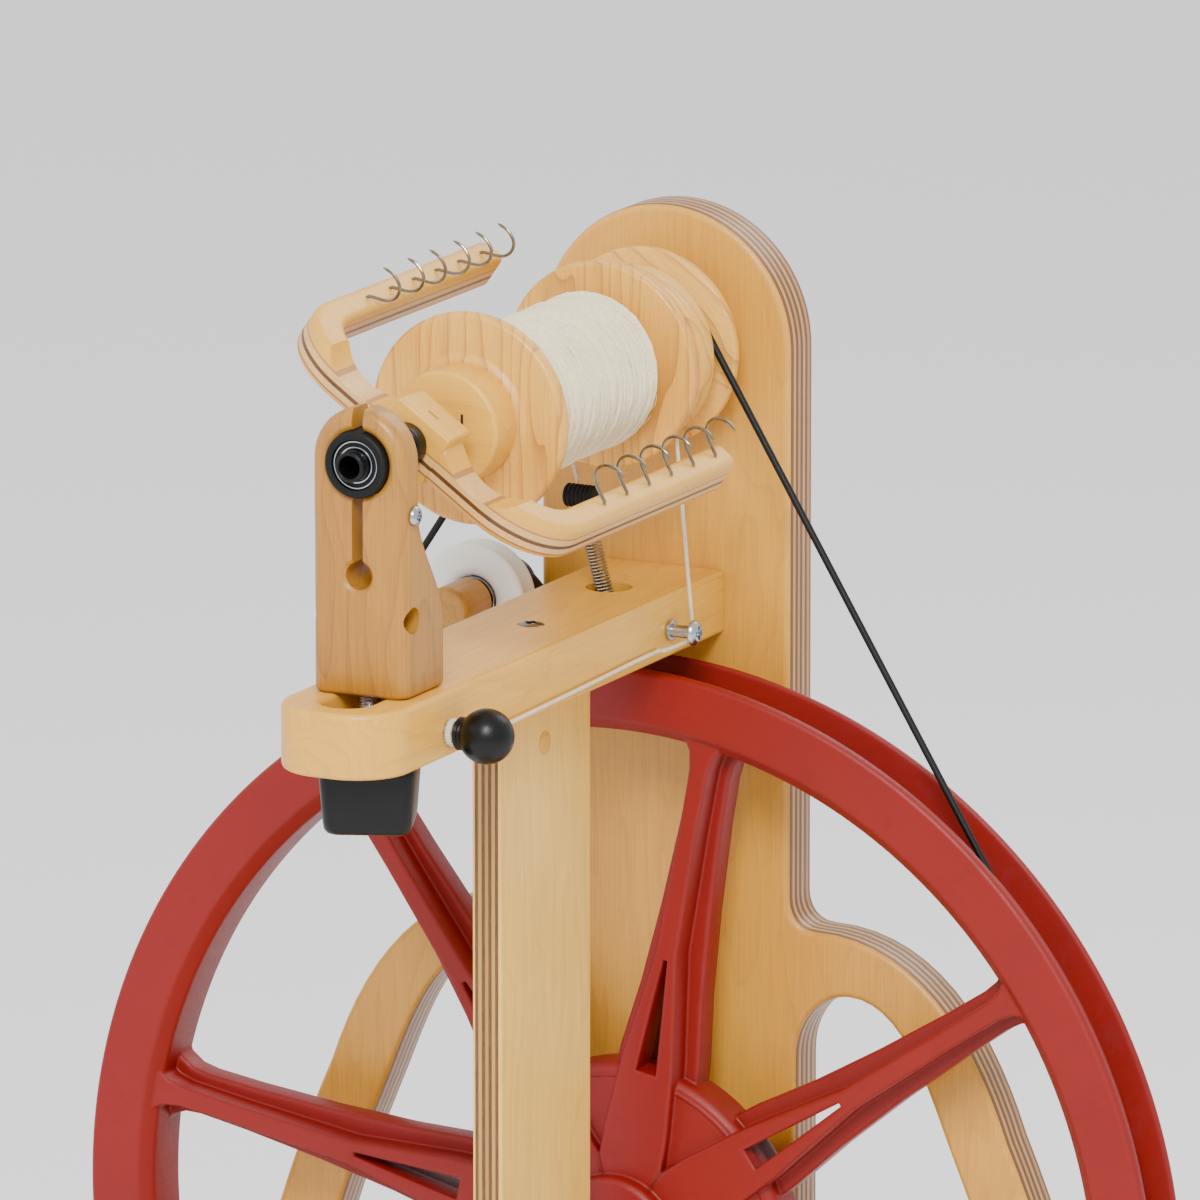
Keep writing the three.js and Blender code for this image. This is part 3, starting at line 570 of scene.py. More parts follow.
def backboard():
    half, arch_z = 47.4, 308.5
    foot, arch = FLOOR + 8.3, FLOOR + 112
    right = [(half, 118)]
    right += bezier(right[-1], (half, 112), (51, 107.5), (57, 107.5), 6)
    right += bezier(right[-1], (95, 108), (117, 78), (130, 41))
    right += bezier(right[-1], (158, -20), (196, -150), (196, foot), 20)
    right.append((136, foot))
    right += bezier(right[-1], (136, FLOOR + 90), (124, arch), (96, arch))
    right.append((36, arch))
    right += bezier(right[-1], (24, arch), (18, arch - 6), (18, arch - 18), 8)
    right.append((18, FLOOR + 30))
    border = right + mirrored(right) + arc(0, arch_z, half, 180, 0, 48)
    hole = [(50, 62)]
    hole += bezier(hole[-1], (50, 76), (60, 85.5), (70, 85.5))
    hole += bezier(hole[-1], (92, 85.5), (102, 50), (110, 32))
    hole += bezier(hole[-1], (136, -28), (150, -90), (154, -128))
    hole += bezier(hole[-1], (156, -146), (146, -152), (134, -152), 8)
    hole.append((74, -152))
    hole += bezier(hole[-1], (58, -152), (50, -144), (50, -128), 8)
    holes = [hole, mirrored(hole), circle(0, 0, 14), circle(0, arch_z + 1, 9)]
    return board("xz", [border] + holes, 0, BOARD_DEPTH, 2.2, 4)


piece("backboard_plywood", backboard(), "plywood", "frame", "backboard", grain="z")
BUSH = ring(13.7, 8.3, 0.3, 7.5)
piece("axle_bearing_front_race", merged(BUSH, ring(11.6, 10.4, -0.2, 3)), "steel", "frame",
      "axle_bearing_front")
REAR_BUSH = merged(ring(13.7, 8.3, 10.9, 18.1), ring(11.6, 10.4, 15, 18.5))
piece("axle_bearing_rear_race", REAR_BUSH, "steel", "frame", "axle_bearing_rear")
FLYER_BUSH = merged(ring(8.7, 4.3, 0.3, 12), ring(7.4, 5.6, -0.6, 2))
piece("flyer_rear_bush", FLYER_BUSH, "black", "frame", "rear_flyer_bearing", BOBBIN)

# ---- base: cross foot, stretcher, rubber pads and treadle rod ----
low, high = drawn_box("front_foot")
FOOT_TOP = high.z
foot = board("xy", [rounded(low.x, low.y, high.x, high.y, 12)], low.z, high.z, 3, 4)
piece("cross_foot", foot, "maple", "frame", "front_foot")
low, high = drawn_box("stretcher")
rod_y, rod_z = -225, FLOOR + 48
side_view = [(low.y, low.z), (high.y, low.z), (high.y, high.z), (low.y, high.z)]
rail = board("yz", [side_view, circle(rod_y, rod_z, 4.3)], low.x, high.x, 2.2, 4)
piece("stretcher_rail", rail, "maple", "frame", "stretcher", grain="y")
for side, m in (("left", -1), ("right", 1)):
    for end, x, y in (("front", m * 165, -225), ("rear", m * 166, 9.2)):
        low, high = drawn_box(f"foot_pad_{end}_{side}")
        r = (high.x - low.x) / 2
        pad = lathe([[0, 0], [r * 0.86, 0], [r, 1.8], [r * 0.96, 8], [0, 8]], 48, 0.8)
        groove = ring(r * 1.0, r * 0.94, 4.2, 5.0)
        foot_pad = shifted(moved(merged(pad, groove), AXIS_Z), x, y, FLOOR)
        piece(f"rubber_foot_{end}_{side}", foot_pad, "rubber", "frame", f"foot_pad_{end}_{side}")
    x = m * 118
    cheek_view = [(-236, FOOT_TOP + 0.3), (-214, FOOT_TOP + 0.3)] + arc(rod_y, rod_z, 11, 0, 180, 16)
    bracket = board("yz", [cheek_view, circle(rod_y, rod_z, 4.3)], x - 5, x + 5, 1.2)
    piece(f"treadle_bracket_{side}", bracket, "maple", "frame", f"rod_bracket_{side}", grain="z")
rod_low, rod_high = drawn_box("treadle_rod")
bar = lathe([[0, rod_low.x], [3.2, rod_low.x], [4, rod_low.x + 0.9], [4, rod_high.x - 0.9], [3.2, rod_high.x],
             [0, rod_high.x]], 36, 0.3)
piece("treadle_pivot_rod", shifted(moved(bar, AXIS_X), 0, rod_y, rod_z), "steel", "frame", "treadle_rod")

# ---- post and bar ----
low, high = drawn_box("front_post")
post = board("yz", [[(low.y, low.z), (high.y, low.z), (high.y, high.z), (low.y, high.z)]], low.x, high.x, 0.9)
piece("post_plywood_strip", post, "post_ply", "frame", "front_post", grain="zy", start=low.x)
plug = shifted(moved(rod(4, 0, 0.5, 32, 0.2), AXIS_X), high.x - 0.15, -101.7, 190)
piece("post_plug", plug, "maple", "frame", grain="y")

low, high = drawn_box("flyer_bar")
nose = (arc(-high.x + 19, low.y + 19, 19, 180, 270, 12) + arc(high.x - 19, low.y + 19, 19, 270, 360, 12)
        + [(high.x, high.y), (-high.x, high.y)])
slot = rounded(-8.5, -242, 8.5, -208, 8.3)
beam = board("xy", [nose, slot], low.z, high.z, 1.8, 4)
spring_well = shifted(moved(rod(8, 0, 30, 48, 0), AXIS_Z), 0, -42.3, low.z + 4)
tension = drawn_box("tension_shaft")
tension_y, tension_z = (tension[0].y + tension[1].y) / 2, (tension[0].z + tension[1].z) / 2
guide = drawn_box("brake_guide_screw")
guide_y, guide_z = (guide[0].y + guide[1].y) / 2, (guide[0].z + guide[1].z) / 2
side_holes = [shifted(moved(rod(r, 11, 40, 24, 0), AXIS_X), 0, y, z)
              for r, y, z in ((3.3, tension_y, tension_z), (2.8, guide_y, guide_z))]
screw_well = shifted(moved(rod(4.7, 0, 4, 32, 0), AXIS_Z), 2, -104.8, high.z - 0.7)
string_groove = tube([(high.x + 0.3, -196, 211.8), (high.x + 0.3, -52, 213.6)], 0.9, 8)
beam = carved(beam, spring_well, *side_holes, screw_well, string_groove)
piece("flyer_support_bar", beam, "maple", "frame", "flyer_bar", grain="y")
flush = shifted(moved(screw_head(4.5, 1.5), TURN_UP), 2, -104.8, high.z - 0.75)
piece("bar_flush_screw", flush, "nickel", "frame")
BAR_TOP = high.z


# ---- front maiden ----
def maiden_section(z):
    """Half width, front and rear of the maiden at a height."""
    rise = (z - (MAIDEN_TOP - 18)) / 18
    half = 17.5 if rise < 0 else 17.5 * math.sqrt(max(0.0, 1 - rise ** 2)) * 0.999 + 0.01
    foot_end, waist = BAR_TOP + 22, BAR_TOP + 62
    t = min(1, max(0, (z - foot_end) / (waist - foot_end)))
    t = t * t * (3 - 2 * t)
    return half, -226.4, -195.8 + (-213.5 + 195.8) * t


def maiden():
    top, low = MAIDEN_TOP, BAR_TOP + 0.3
    heights = [low, low + 0.5, low + 1.4, low + 8, low + 20]
    heights += [BAR_TOP + 22 + 2 * k for k in range(1, 22)] + [BAR_TOP + 70, top - 18]
    heights += [top - 18 + 18 * math.sin(math.radians(4 * k)) for k in range(1, 22)]
    sections = []
    for z in heights:
        half, front, rear = maiden_section(z)
        trim = 1.0 if z == low else 0.35 if z == low + 0.5 else 0.0
        crown = max(0.0, (z - (top - 4)) / 4) * 1.6
        half, front, rear = half - trim, front + trim + crown, rear - trim - crown
        corner = min(4.6, half * 0.6, (rear - front) * 0.34)
        sections.append([(x, y, z) for x, y in rounded(-half, front, half, rear, corner, 7)])
    body = loft(sections)
    cuts = [
        shifted(lathe([[0, -240], [13.2, -240], [13.2, -226.6], [11.5, -225.3], [11.5, -190],
                       [0, -190]], 64, 0), 0, 0, FLYER_Z),
        block(-2.1, 2.1, -240, -190, FLYER_Z, 340, 0.05),
        block(-2, 2, -240, -190, 273, FLYER_Z, 0.05),
        shifted(lathe([[0, -240], [6, -240], [6, -226.5], [4.8, -225.4], [4.8, -190], [0, -190]], 40, 0),
                0, 0, 271.8),
        shifted(moved(rod(4.5, -30, 30, 40, 0), AXIS_X), 0, -220.5, 257.5),
        shifted(moved(rod(1.9, 9, 30, 20, 0), AXIS_X), 0, -220, 292.6),
        shifted(moved(rod(4.3, -6, 16, 24, 0), AXIS_Z), 0, CLAMP_Y, BAR_TOP),
    ]
    return carved(body, *cuts)


piece("maiden_upright", maiden(), "cherry", "maiden", "front_maiden", grain="z", crease=38)
SLEEVE = lathe([[8.4, -228.6], [10.6, -228.6], [11.2, -227.9], [11.2, -212], [8.4, -212]], 72, 0.4)
piece("bearing_rubber_sleeve", SLEEVE, "rubber", "maiden", "bearing_sleeve", BOBBIN)
RACES = merged(ring(8.1, 7.5, -227.8, -214, 64, 0.25), ring(6.2, 5.5, -227.8, -214, 64, 0.25))
piece("bearing_races", RACES, "steel", "maiden", "front_bearing", BOBBIN)
piece("bearing_seal", ring(7.55, 6.15, -227.2, -214.5, 64, 0.2), "rubber", "maiden", (), BOBBIN)
pinch = merged(moved(screw_head(3.4, 1.9), TURN_X), moved(rod(1.6, -7.3, 0.2, 20, 0.1), AXIS_X))
piece("pinch_screw", shifted(pinch, 17.8, -220, 292.6), "steel", "maiden", "maiden_pinch_screw")
low, high = drawn_box("clamp_bolt")
thread = lathe([[0, low.z], [3.6, low.z]] + [[3.6 + 0.4 * (k % 2), low.z + 0.5 + 0.5 * k] for k in range(90)]
               + [[0, high.z]], 28, 0.1)
piece("clamp_stud", shifted(moved(thread, AXIS_Z), 0, CLAMP_Y, 0), "steel", "maiden", "clamp_bolt")


def clamp_knob():
    low, high = drawn_box("clamp_knob")
    rings = []
    for z, grow, corner in ((low.z, -3.6, 3), (low.z + 0.5, -2.5, 3.6), (low.z + 1.7, -1.6, 4),
                            (low.z + 4, -1.2, 4.2), (high.z - 3, 0, 4.6), (high.z - 1, -0.2, 4.6),
                            (high.z - 0.25, -0.7, 4.4), (high.z, -1.6, 4)):
        half = 16 + grow
        rings.append([(x, y, z) for x, y in rounded(-half, -half, half, half, corner, 8)])
    body = carved(loft(rings), shifted(moved(rod(4.3, 0, 14, 28, 0), AXIS_Z), 0, 0, high.z - 12))
    return moved(body, Matrix.Translation((0, CLAMP_Y, 0)) @ Matrix.Rotation(math.pi / 8, 4, "Z"))


piece("clamp_knob_body", clamp_knob(), "black", "clamp_knob", "clamp_knob")

# ---- tension knob with its wound cord ----
SHAFT = moved(merged(rod(3, 11, 30, 32), rod(4.6, 22.8, 23.2, 32), rod(4.4, 25.2, 25.8, 32)), AXIS_X)
piece("tension_spindle", shifted(SHAFT, 0, tension_y, tension_z), "steel", "tension", "tension_shaft")
turns = [(23.6 + 0.015 * k, 4.0 * math.cos(k * math.pi / 6), 4.0 * math.sin(k * math.pi / 6))
         for k in range(96)]
wound = shifted(twisted(turns, 0.7, 2, 3, step=0.9), 0, tension_y, tension_z)
piece("tension_cord_turns", wound, "cord", "tension")
ball = [[0, 45.8]] + [[9.3 * math.sin(math.radians(a)), 36.5 + 9.3 * math.cos(math.radians(a))]
                      for a in range(8, 148, 6)]
neck = [[5.7 - 0.6 * (k % 2), 31 - 0.7 * k] for k in range(8)]
knob = lathe(ball + [[5.0, 31.5]] + neck + [[3.3, 26.0], [3.3, 30.3], [0, 30.4]], 56, 0.3)
knob = shifted(moved(knob, AXIS_X), 0, tension_y, tension_z)
piece("tension_knob_body", knob, "black", "tension", "tension_knob")

# ---- guide screw, brake cord, spring and its cap ----
SHANK = ([[0, 12.3], [2.5, 12.3]] + [[2.5 - 0.35 * (k % 2), 12.8 + 0.4 * k] for k in range(26)]
         + [[2.2, 31.6], [0, 31.6]])
screw = merged(moved(lathe(SHANK, 28, 0.1), AXIS_X), shifted(moved(screw_head(4.4, 2.5), TURN_X), 31.5, 0, 0),
               moved(ring(3.6, 2.2, 22.8, 24.2, 32, 0.2), AXIS_X))
piece("cord_guide_screw", shifted(screw, 0, guide_y, guide_z), "steel", "frame", "brake_guide_screw")


def tangent(x, z, radius, side):
    """Where a straight cord from a point meets a circle round the flyer axis."""
    dz = z - FLYER_Z
    turn = math.atan2(dz, x) + side * math.acos(radius / math.hypot(x, dz))
    return radius * math.cos(turn), FLYER_Z + radius * math.sin(turn), turn


BRAKE_Y, BRAKE_R = -42.3, 22.9
FOOT_X, FOOT_Z = 2.5, 214
left = tangent(FOOT_X, FOOT_Z, BRAKE_R, -1)
spring_length = math.hypot(left[0] - FOOT_X, left[1] - FOOT_Z)
lean = Vector(((left[0] - FOOT_X) / spring_length, 0, (left[1] - FOOT_Z) / spring_length))
SPRING_TURN = lean.to_track_quat("Y", "X").to_matrix().to_4x4()
SPRING_FRAME = Matrix.Translation((FOOT_X, BRAKE_Y, FOOT_Z)) @ SPRING_TURN


def brake_route():
    guide_x = 29.8
    points = [(25.4, tension_y + 1, tension_z - 5.5), (24.6, tension_y + 12, tension_z - 5.6),
              (24.0, -120, 212.5), (24.0, -60, 213.6), (26.2, -52, 213.9)]
    for k in range(7):
        a = math.pi * (-0.6 + 0.1 * k)
        points.append((guide_x, guide_y + 3.4 * math.cos(a), guide_z + 3.4 * math.sin(a)))
    right = tangent(guide_x, guide_z, BRAKE_R, 1)
    last = left[2] % (2 * math.pi)
    first = right[2]
    while first > last:
        first -= 2 * math.pi
    points += [(guide_x + (right[0] - guide_x) * t, guide_y + 3.4 * (1 - t),
                guide_z + (right[1] - guide_z) * t) for t in (0.25, 0.5, 0.75)]
    points += [(BRAKE_R * math.cos(a), BRAKE_Y, FLYER_Z + BRAKE_R * math.sin(a))
               for a in [first + (last - first) * k / 24 for k in range(25)]]
    end = Vector((FOOT_X, BRAKE_Y, FOOT_Z)) + lean * 54.4
    return points + [tuple((Vector((left[0], BRAKE_Y, left[1])) + end) / 2), tuple(end)]


piece("brake_string", twisted(brake_route(), 0.68, 3, 3.6), "cord", "frame", "brake_cord")
coil = [(2.7 * math.cos(k * math.pi / 5), 44 * k / 390, 2.7 * math.sin(k * math.pi / 5))
        for k in range(391)]
piece("tension_spring", tube(coil, 0.45, 7), "nickel", "frame", "brake_spring", SPRING_FRAME)
cap_low, cap_high = drawn_box("spring_cap")
ribs = [[3.5 + 0.7 * (k % 2), -5.5 + 0.785 * k] for k in range(15)]
barrel = moved(lathe([[0, -5.8]] + ribs + [[0, 5.8]], 48, 0.3), AXIS_X)
piece("spring_end_cap", shifted(barrel, *((cap_low + cap_high) / 2)), "rubber", "frame", "spring_cap")


# ---- flyer ----
def flyer_arms():
    outer, inner, front, back, end = 59, 49, -190, -176, -47.5
    half = ARM_DEPTH / 2
    border = ([(outer - 1.5, end - 1)] + [(inner + 1.5, end)] + [(inner, end - 2)]
              + arc(inner - 16, back + 16, 16, 0, -90, 14) + arc(-inner + 16, back + 16, 16, -90, -180, 14)
              + [(-inner, end - 2), (-inner - 1.5, end), (-outer + 1.5, end - 1), (-outer, end - 4)]
              + arc(-outer + 27, front + 27, 27, 180, 270, 16) + arc(outer - 27, front + 27, 27, 270, 360, 16)
              + [(outer, end - 4)])
    frame_u = board("xy", [border], -half, half, 2.4, 4)
    scoops = [shifted(rod(21, -200, -165, 72, 0), m * 26.5, 0, half + 14.5) for m in (-1, 1)]
    tube_hole = rod(6.3, -205, -165, 40, 0)
    pad = block(-11.5, 11.5, front - 0.4, back + 2, -9.5, 11, 1.4)
    peg_hole = block(-2.2, 2.2, -184.6, -183.2, 9, 12, 0.02)
    return carved(frame_u, *scoops, tube_hole), carved(pad, tube_hole, peg_hole)


arms, pad = flyer_arms()
piece("flyer_laminated_arms", arms, "laminate", "flyer", "flyer_arms", FLYER,
      start=-ARM_DEPTH / 2)
piece("flyer_centre_pad", pad, "laminate", "flyer", (), FLYER,
      start=-ARM_DEPTH / 2)
# painted shade: a dark block on the slot's floor darkens the slot like its shade
piece("flyer_pad_peg", block(-2.0, 2.0, -184.5, -183.3, 8.6, 10.4, 0.05), "painted_slot_shade", "flyer", (), FLYER)
TUBE = lathe([[0, -200], [3.7, -200], [3.7, -231.6], [4.0, -232.3], [4.8, -232.3], [5.2, -231.7],
              [5.2, -197], [7.0, -197], [7.5, -196.4], [7.5, -191.2], [6.2, -190.8], [6, -190.8],
              [6, -173], [0, -173]], 64, 0.25)
piece("orifice_tube_body", TUBE, "black", "flyer", "orifice_tube", FLYER)
STEM = lathe([[0, -172.7], [4, -172.7], [4, 10.6], [2.8, 12], [0, 12]], 40, 0.3)
piece("flyer_steel_shaft", STEM, "steel", "flyer", "flyer_shaft", FLYER)
WHORL = lathe([[4.3, -34.5], [29.6, -34.5], [31.3, -33.4], [31.3, -24.9], [23.6, -21.2], [23.6, -18.8],
               [34.2, -16.2], [34.5, -15.4], [34.5, -12.6], [33.2, -11.5], [4.3, -11.5]], 112, 0.9)
piece("whorl_turned", WHORL, "beech", "flyer", "whorl", FLYER)
for side, m in (("left", -1), ("right", 1)):
    for i in range(6):
        rnd = random.Random(i * 7 + m)
        x, y, top = m * 54, -142 + 16.6 * i, 7.2
        shape = [(0, -3), (0, 0), (-1.6, 1.2), (-6.6, 3.8), (-8.6, 7.4), (-7.4, 11.0), (-3.2, 12.8),
                 (0.9, 12.2)]
        twist = rnd.uniform(-0.06, 0.06)
        path = smooth_path([(x + m * a, y + b * twist, top + b) for a, b in shape], 0.9)
        radii = [0.58] * (len(path) - 3) + [0.5, 0.36, 0.18]
        hook = tube(path, radii, 10)
        piece(f"flyer_hook_{side}_{i + 1}", hook, "nickel", "flyer", f"hook_{side}_{i + 1}", FLYER)

# ---- bobbin and yarn ----
HUB = lathe([[4.3, -164.6], [18.8, -164.6], [19.6, -163.6], [19.6, -149.6], [4.3, -149.6]], 112, 0.5)
piece("bobbin_hub_disc", HUB, "maple", "bobbin", (), BOBBIN)
# painted shade: a thin dark block on the hub face stands in for the shade of a notch that is not carved
NOTCH_SHADE = block(6.4, 7.3, -164.7, -163.9, 1.5, 5.6, 0.05)
piece("bobbin_hub_notch", NOTCH_SHADE, "painted_slot_shade", "bobbin", (), BOBBIN)
FRONT = lathe([[4.3, -149.9], [20.6, -149.9], [22.2, -148.4], [34.8, -147.8], [36, -146.2], [36, -143.6],
               [35, -142.5], [4.3, -142.5]], 112, 0.8)
piece("bobbin_flange_front", FRONT, "beech", "bobbin", "bobbin_front_flange", BOBBIN, grain="z")
piece("bobbin_barrel", ring(12, 4.3, -142.2, -50.3), "beech", "bobbin", "bobbin_core", BOBBIN, grain="y")
REAR = lathe([[4.3, -50], [34.6, -50], [35.5, -49], [35.5, -46], [34.6, -45], [21.4, -43.6], [21.4, -40.8],
              [29.2, -39.4], [30, -38.4], [30, -36.9], [29.2, -36], [4.3, -36]], 112, 0.7)
piece("bobbin_flange_rear", REAR, "beech", "bobbin", "bobbin_rear_flange", BOBBIN, grain="z")


def package_radius(y):
    rise = min(1.0, (y + 142.2) / 9) ** 0.6
    fall = min(1.0, (-51.4 - y) / 6) ** 0.5
    return 12.6 + (27 - 12.6) * min(rise * 0.985, 1) * max(0.2, fall) if y < -51.4 else 12.6


def yarn():
    rnd = random.Random(4)
    shapes = []
    levels = [-142 + 90.4 * k / 30 for k in range(31)]
    core = [[12.3, -142.1]] + [[package_radius(y) - 1.4, y] for y in levels]
    shapes.append(lathe(core + [[12.3, -51.5]], 72, 0.2))
    for layer, (pitch, lift, phase) in enumerate(((2.5, -0.5, 0.0), (-3.9, -0.1, 2.0), (5.9, 0.1, 4.0))):
        y = -141.2 if pitch > 0 else -52.4
        path, radii, angle, wobble = [], [], phase, 0.0
        while -141.6 < y < -52 or not path:
            wobble = wobble * 0.93 + rnd.uniform(-0.11, 0.11)
            r = package_radius(y) - 1.0 + lift + wobble * 0.6
            path.append((r * math.cos(angle), y + wobble * 2.2, r * math.sin(angle)))
            radii.append(1.0 + 0.3 * math.sin(angle * 2.3 + layer) + rnd.uniform(-0.2, 0.2))
            angle += 0.2
            y += pitch * 0.2 / (2 * math.pi) * rnd.uniform(0.7, 1.3)
        shapes.append(tube(path, radii, 6))
    for k in range(150):
        y = rnd.uniform(-136, -54)
        angle = rnd.uniform(0, 2 * math.pi)
        r = package_radius(y) - 0.3
        swing = rnd.choice((-1, 1)) * rnd.uniform(0.12, 0.3)
        lift = rnd.uniform(0.2, 0.8)
        wisp = [(r * math.cos(angle), y, r * math.sin(angle)),
                ((r + lift) * math.cos(angle + swing / 2), y + rnd.uniform(-1, 1),
                 (r + lift) * math.sin(angle + swing / 2)),
                ((r + lift * 0.2) * math.cos(angle + swing), y + rnd.uniform(-3, 3),
                 (r + lift * 0.2) * math.sin(angle + swing))]
        shapes.append(tube(smooth_path(wisp, 1.2), 0.07, 4))
    return merged(*shapes)


piece("wound_yarn", yarn(), "yarn", "bobbin", "yarn_package", BOBBIN, crease=80)


# ---- drive wheel ----
def taper(points):
    """A closed outline along X from (distance, half width) points."""
    return points + [(r, -w) for r, w in reversed(points)]


def drive_wheel():
    r, f, b = 203.2, -40.7, -13.7
    rim = lathe([[184.8, f], [r - 1.2, f], [r, f + 1.2], [r, f + 4.2], [r - 13.2, f + 7.2],
                 [r - 13.2, f + 10.2], [r - 5, f + 13.2], [r - 5, f + 14], [r - 12, f + 15.2], [r - 12, b - 4], [r - 1, b - 2.4],
                 [r, b - 2], [r, b], [184.8, b], [180.2, b - 4.5], [180.2, f + 4.5]], 256, 0.9, 4)
    hub = lathe([[10.3, f - 3], [22.4, f - 3], [24, f - 1.4], [24, f + 5.4], [26.5, f + 7], [60, f + 7],
                 [62, f + 9], [62, b - 4.4], [60.5, b - 3], [26, b - 3], [24, b - 1.4], [22.4, b],
                 [10.3, b]], 96, 0.8)
    seam = merged(ring(r - 0.05, r - 0.5, f + 2.3, f + 2.75, 256, 0.05),
                  ring(58.5, 57.6, f + 6.7, f + 7.5, 96, 0.1))
    shapes = [rim, hub, seam]
    web = taper([(40, 17), (66, 15.5), (90, 12.2), (120, 9.6), (150, 8), (168, 7.6), (174, 8.3), (179, 11),
                 (183, 17)])
    rib = taper([(21, 8.7), (29, 12), (40, 12), (66, 10), (90, 6.4), (106, 4), (150, 3.4), (172, 3.6),
                 (178, 4.8), (183, 8)])
    slit = taper([(62, 3.8), (84, 2.1), (103, 0.6)])
    for i in range(8):
        turn = Matrix.Rotation(-math.radians(34.5 + 45 * i), 4, "Y")
        spoke = merged(board("xz", [web, slit], f + 13, b - 4, 1.3, 3),
                       board("xz", [rib, slit], f + 3, b - 5, 1.1, 3))
        shapes.append(moved(spoke, turn))
    return merged(*shapes)


piece("wheel_moulding", drive_wheel(), "red", "wheel", "drive_wheel")
AXLE = lathe([[0, -46], [10, -46], [10, -13], [8, -12.6], [8, 19.7], [0, 19.7]], 48, 0.3)
piece("axle_shaft", AXLE, "steel", "wheel", "wheel_axle")
CAP = lathe([[0, -50], [6, -49.9], [10, -49.2], [12.4, -47.8], [13, -46.3], [0, -46.3]], 56, 0.5)
piece("axle_hub_cap", CAP, "black", "wheel", "hub_cap")


def crank():
    def cheek(x0, x1, y0, y1, boss=8):
        ends = arc(x1, 0, boss, -90, 90, 16) + arc(x0, 0, boss, 90, 270, 16)
        return board("xz", [ends], y0, y1, 1.0)

    return merged(
        board("xz", [circle(0, 0, 12, 48)], 20, 28, 1.0),
        cheek(0, CRANK_THROW, 20.02, 27.98),
        shifted(rod(4, 27, 39, 32), CRANK_THROW, 0, 0),
        cheek(-CRANK_THROW, CRANK_THROW, 38, 45),
        shifted(rod(4, 44, 56, 32), -CRANK_THROW, 0, 0),
    )


piece("crank_throws", crank(), "steel", "wheel", "crank")


# ---- footmen ----
def footman(m, node):
    low, high = drawn_box(node)
    across, drop = PIN_X - CRANK_THROW, -PIN_Z
    length = math.hypot(across, drop)
    outline = rounded(-9, -length - 9, 9, 9, 8.8, 10)
    strip = board("xz", [outline, circle(0, 0, 4.3), circle(0, -length, 4.3)], low.y, high.y, 1.3, 4)
    turn = Matrix.Rotation(-m * math.asin(across / length), 4, "Y")
    eyes = [shifted(ring(6.6, 4.3, low.y - 0.1, high.y + 0.1, 40, 0.2), 0, 0, z) for z in (0, -length)]
    place = Matrix.Translation((m * CRANK_THROW, 0, 0)) @ turn
    return strip, merged(*eyes), place


for side, m in (("right", 1), ("left", -1)):
    strip, eyes, place = footman(m, f"footman_{side}")
    piece(f"footman_strip_{side}", strip, "maple", f"footman_{side}", f"footman_{side}", place, grain="z")
    piece(f"footman_eyelets_{side}", eyes, "steel", f"footman_{side}", (), place)


# ---- treadles ----
def treadle_plate(m):
    a, b, front, tail, pin = 20, 108, -300, 24.5, PIN_X
    points = [(a, front + 10)]
    points += bezier(points[-1], (a, front + 4), (a + 4, front), (a + 10, front), 6)
    points.append((b - 22, front))
    points += bezier(points[-1], (b - 8, front), (b, front + 8), (b, front + 22), 8)
    points.append((b, -120))
    points += bezier(points[-1], (b, -60), (pin + 14, -70), (pin + 12, -16), 20)
    points += [(pin + 10, tail), (pin - 10, tail), (pin - 12, -16)]
    points += bezier(points[-1], (pin - 13, -50), (a, -50), (a, -90), 14)
    return [(m * x, y) for x, y in points]


for side, m in (("right", 1), ("left", -1)):
    name = f"treadle_{side}"
    bottom, top = FLOOR + 54, FLOOR + 54 + TREADLE_DEPTH
    pin_end = (28 if m > 0 else 45) - 2.5
    plate = board("xy", [treadle_plate(m)], bottom, top, 2.4, 4)
    piece(f"{name}_plate", plate, "treadle_ply", name, name, grain="y", start=bottom)
    knuckle = ([(rod_y - 8.5, bottom + 0.5)] + arc(rod_y, rod_z, 7, 180, 360, 14)
               + [(rod_y + 8.5, bottom + 0.5)])
    knuckles = [board("yz", [knuckle, circle(rod_y, rod_z, 4.3)], m * x - 8, m * x + 8, 0.8)
                for x in (32, 94)]
    tail = block(m * PIN_X - 6, m * PIN_X + 6, 19.5, 24.2, top - 0.4, FLOOR + 74, 1.0)
    piece(f"{name}_blocks", merged(*knuckles, tail), "maple", name)
    pin = shifted(rod(3.5, 21.5, pin_end, 32), m * PIN_X, 0, PIN_Z)
    heads = [shifted(moved(screw_head(3.2, 1.2), TURN_UP), m * x, y, top - 0.1)
             for x in (32, 94) for y in (-229, -221)]
    piece(f"{name}_hardware", merged(pin, *heads), "steel", name)

# ---- idler ----
IDLER = Matrix.Translation((-56, 0, 219.5))
arm = merged(
    board("xz", [rounded(-9, -9, 35, 9, 8.9, 10)], -12.4, -4, 1.4),
    shifted(rod(9, -12.2, -0.3, 40, 0.6), 26, 0, 0),
    rod(9.2, -13.0, -3.9, 40, 0.8),
)
piece("idler_bracket", arm, "black", "frame", "idler_arm", IDLER @ Matrix.Rotation(math.radians(45), 4, "Y"))
DOWEL = lathe([[0, -55], [7.3, -55], [8.3, -53.8], [8.3, -36.6], [7.9, -36], [4, -36], [4, -12.7],
               [0, -12.7]], 56, 0.6)
piece("idler_turned_dowel", DOWEL, "cherry", "frame", "idler_dowel", IDLER, grain="y")
BALLS = merged(ring(8, 7.2, -34.5, -25.5, 56, 0.3), ring(5.4, 4.3, -34.5, -25.5, 56, 0.3))
piece("idler_bearing_races", BALLS, "steel", "idler", "idler_bearing", IDLER)
piece("idler_bearing_seal", ring(7.25, 5.35, -34.0, -26, 56, 0.2), "rubber", "idler", (), IDLER)
PULLEY = lathe([[8.3, -33.5], [9.2, -34.4], [11, -35], [18.9, -35], [19.7, -34.2], [19.7, -33.2], [14.7, -30],
                [19.7, -26.6], [19.7, -25.6], [18.9, -25], [8.3, -25]], 96, 0.6)
piece("idler_nylon_pulley", PULLEY, "white", "idler", "idler_pulley", IDLER)


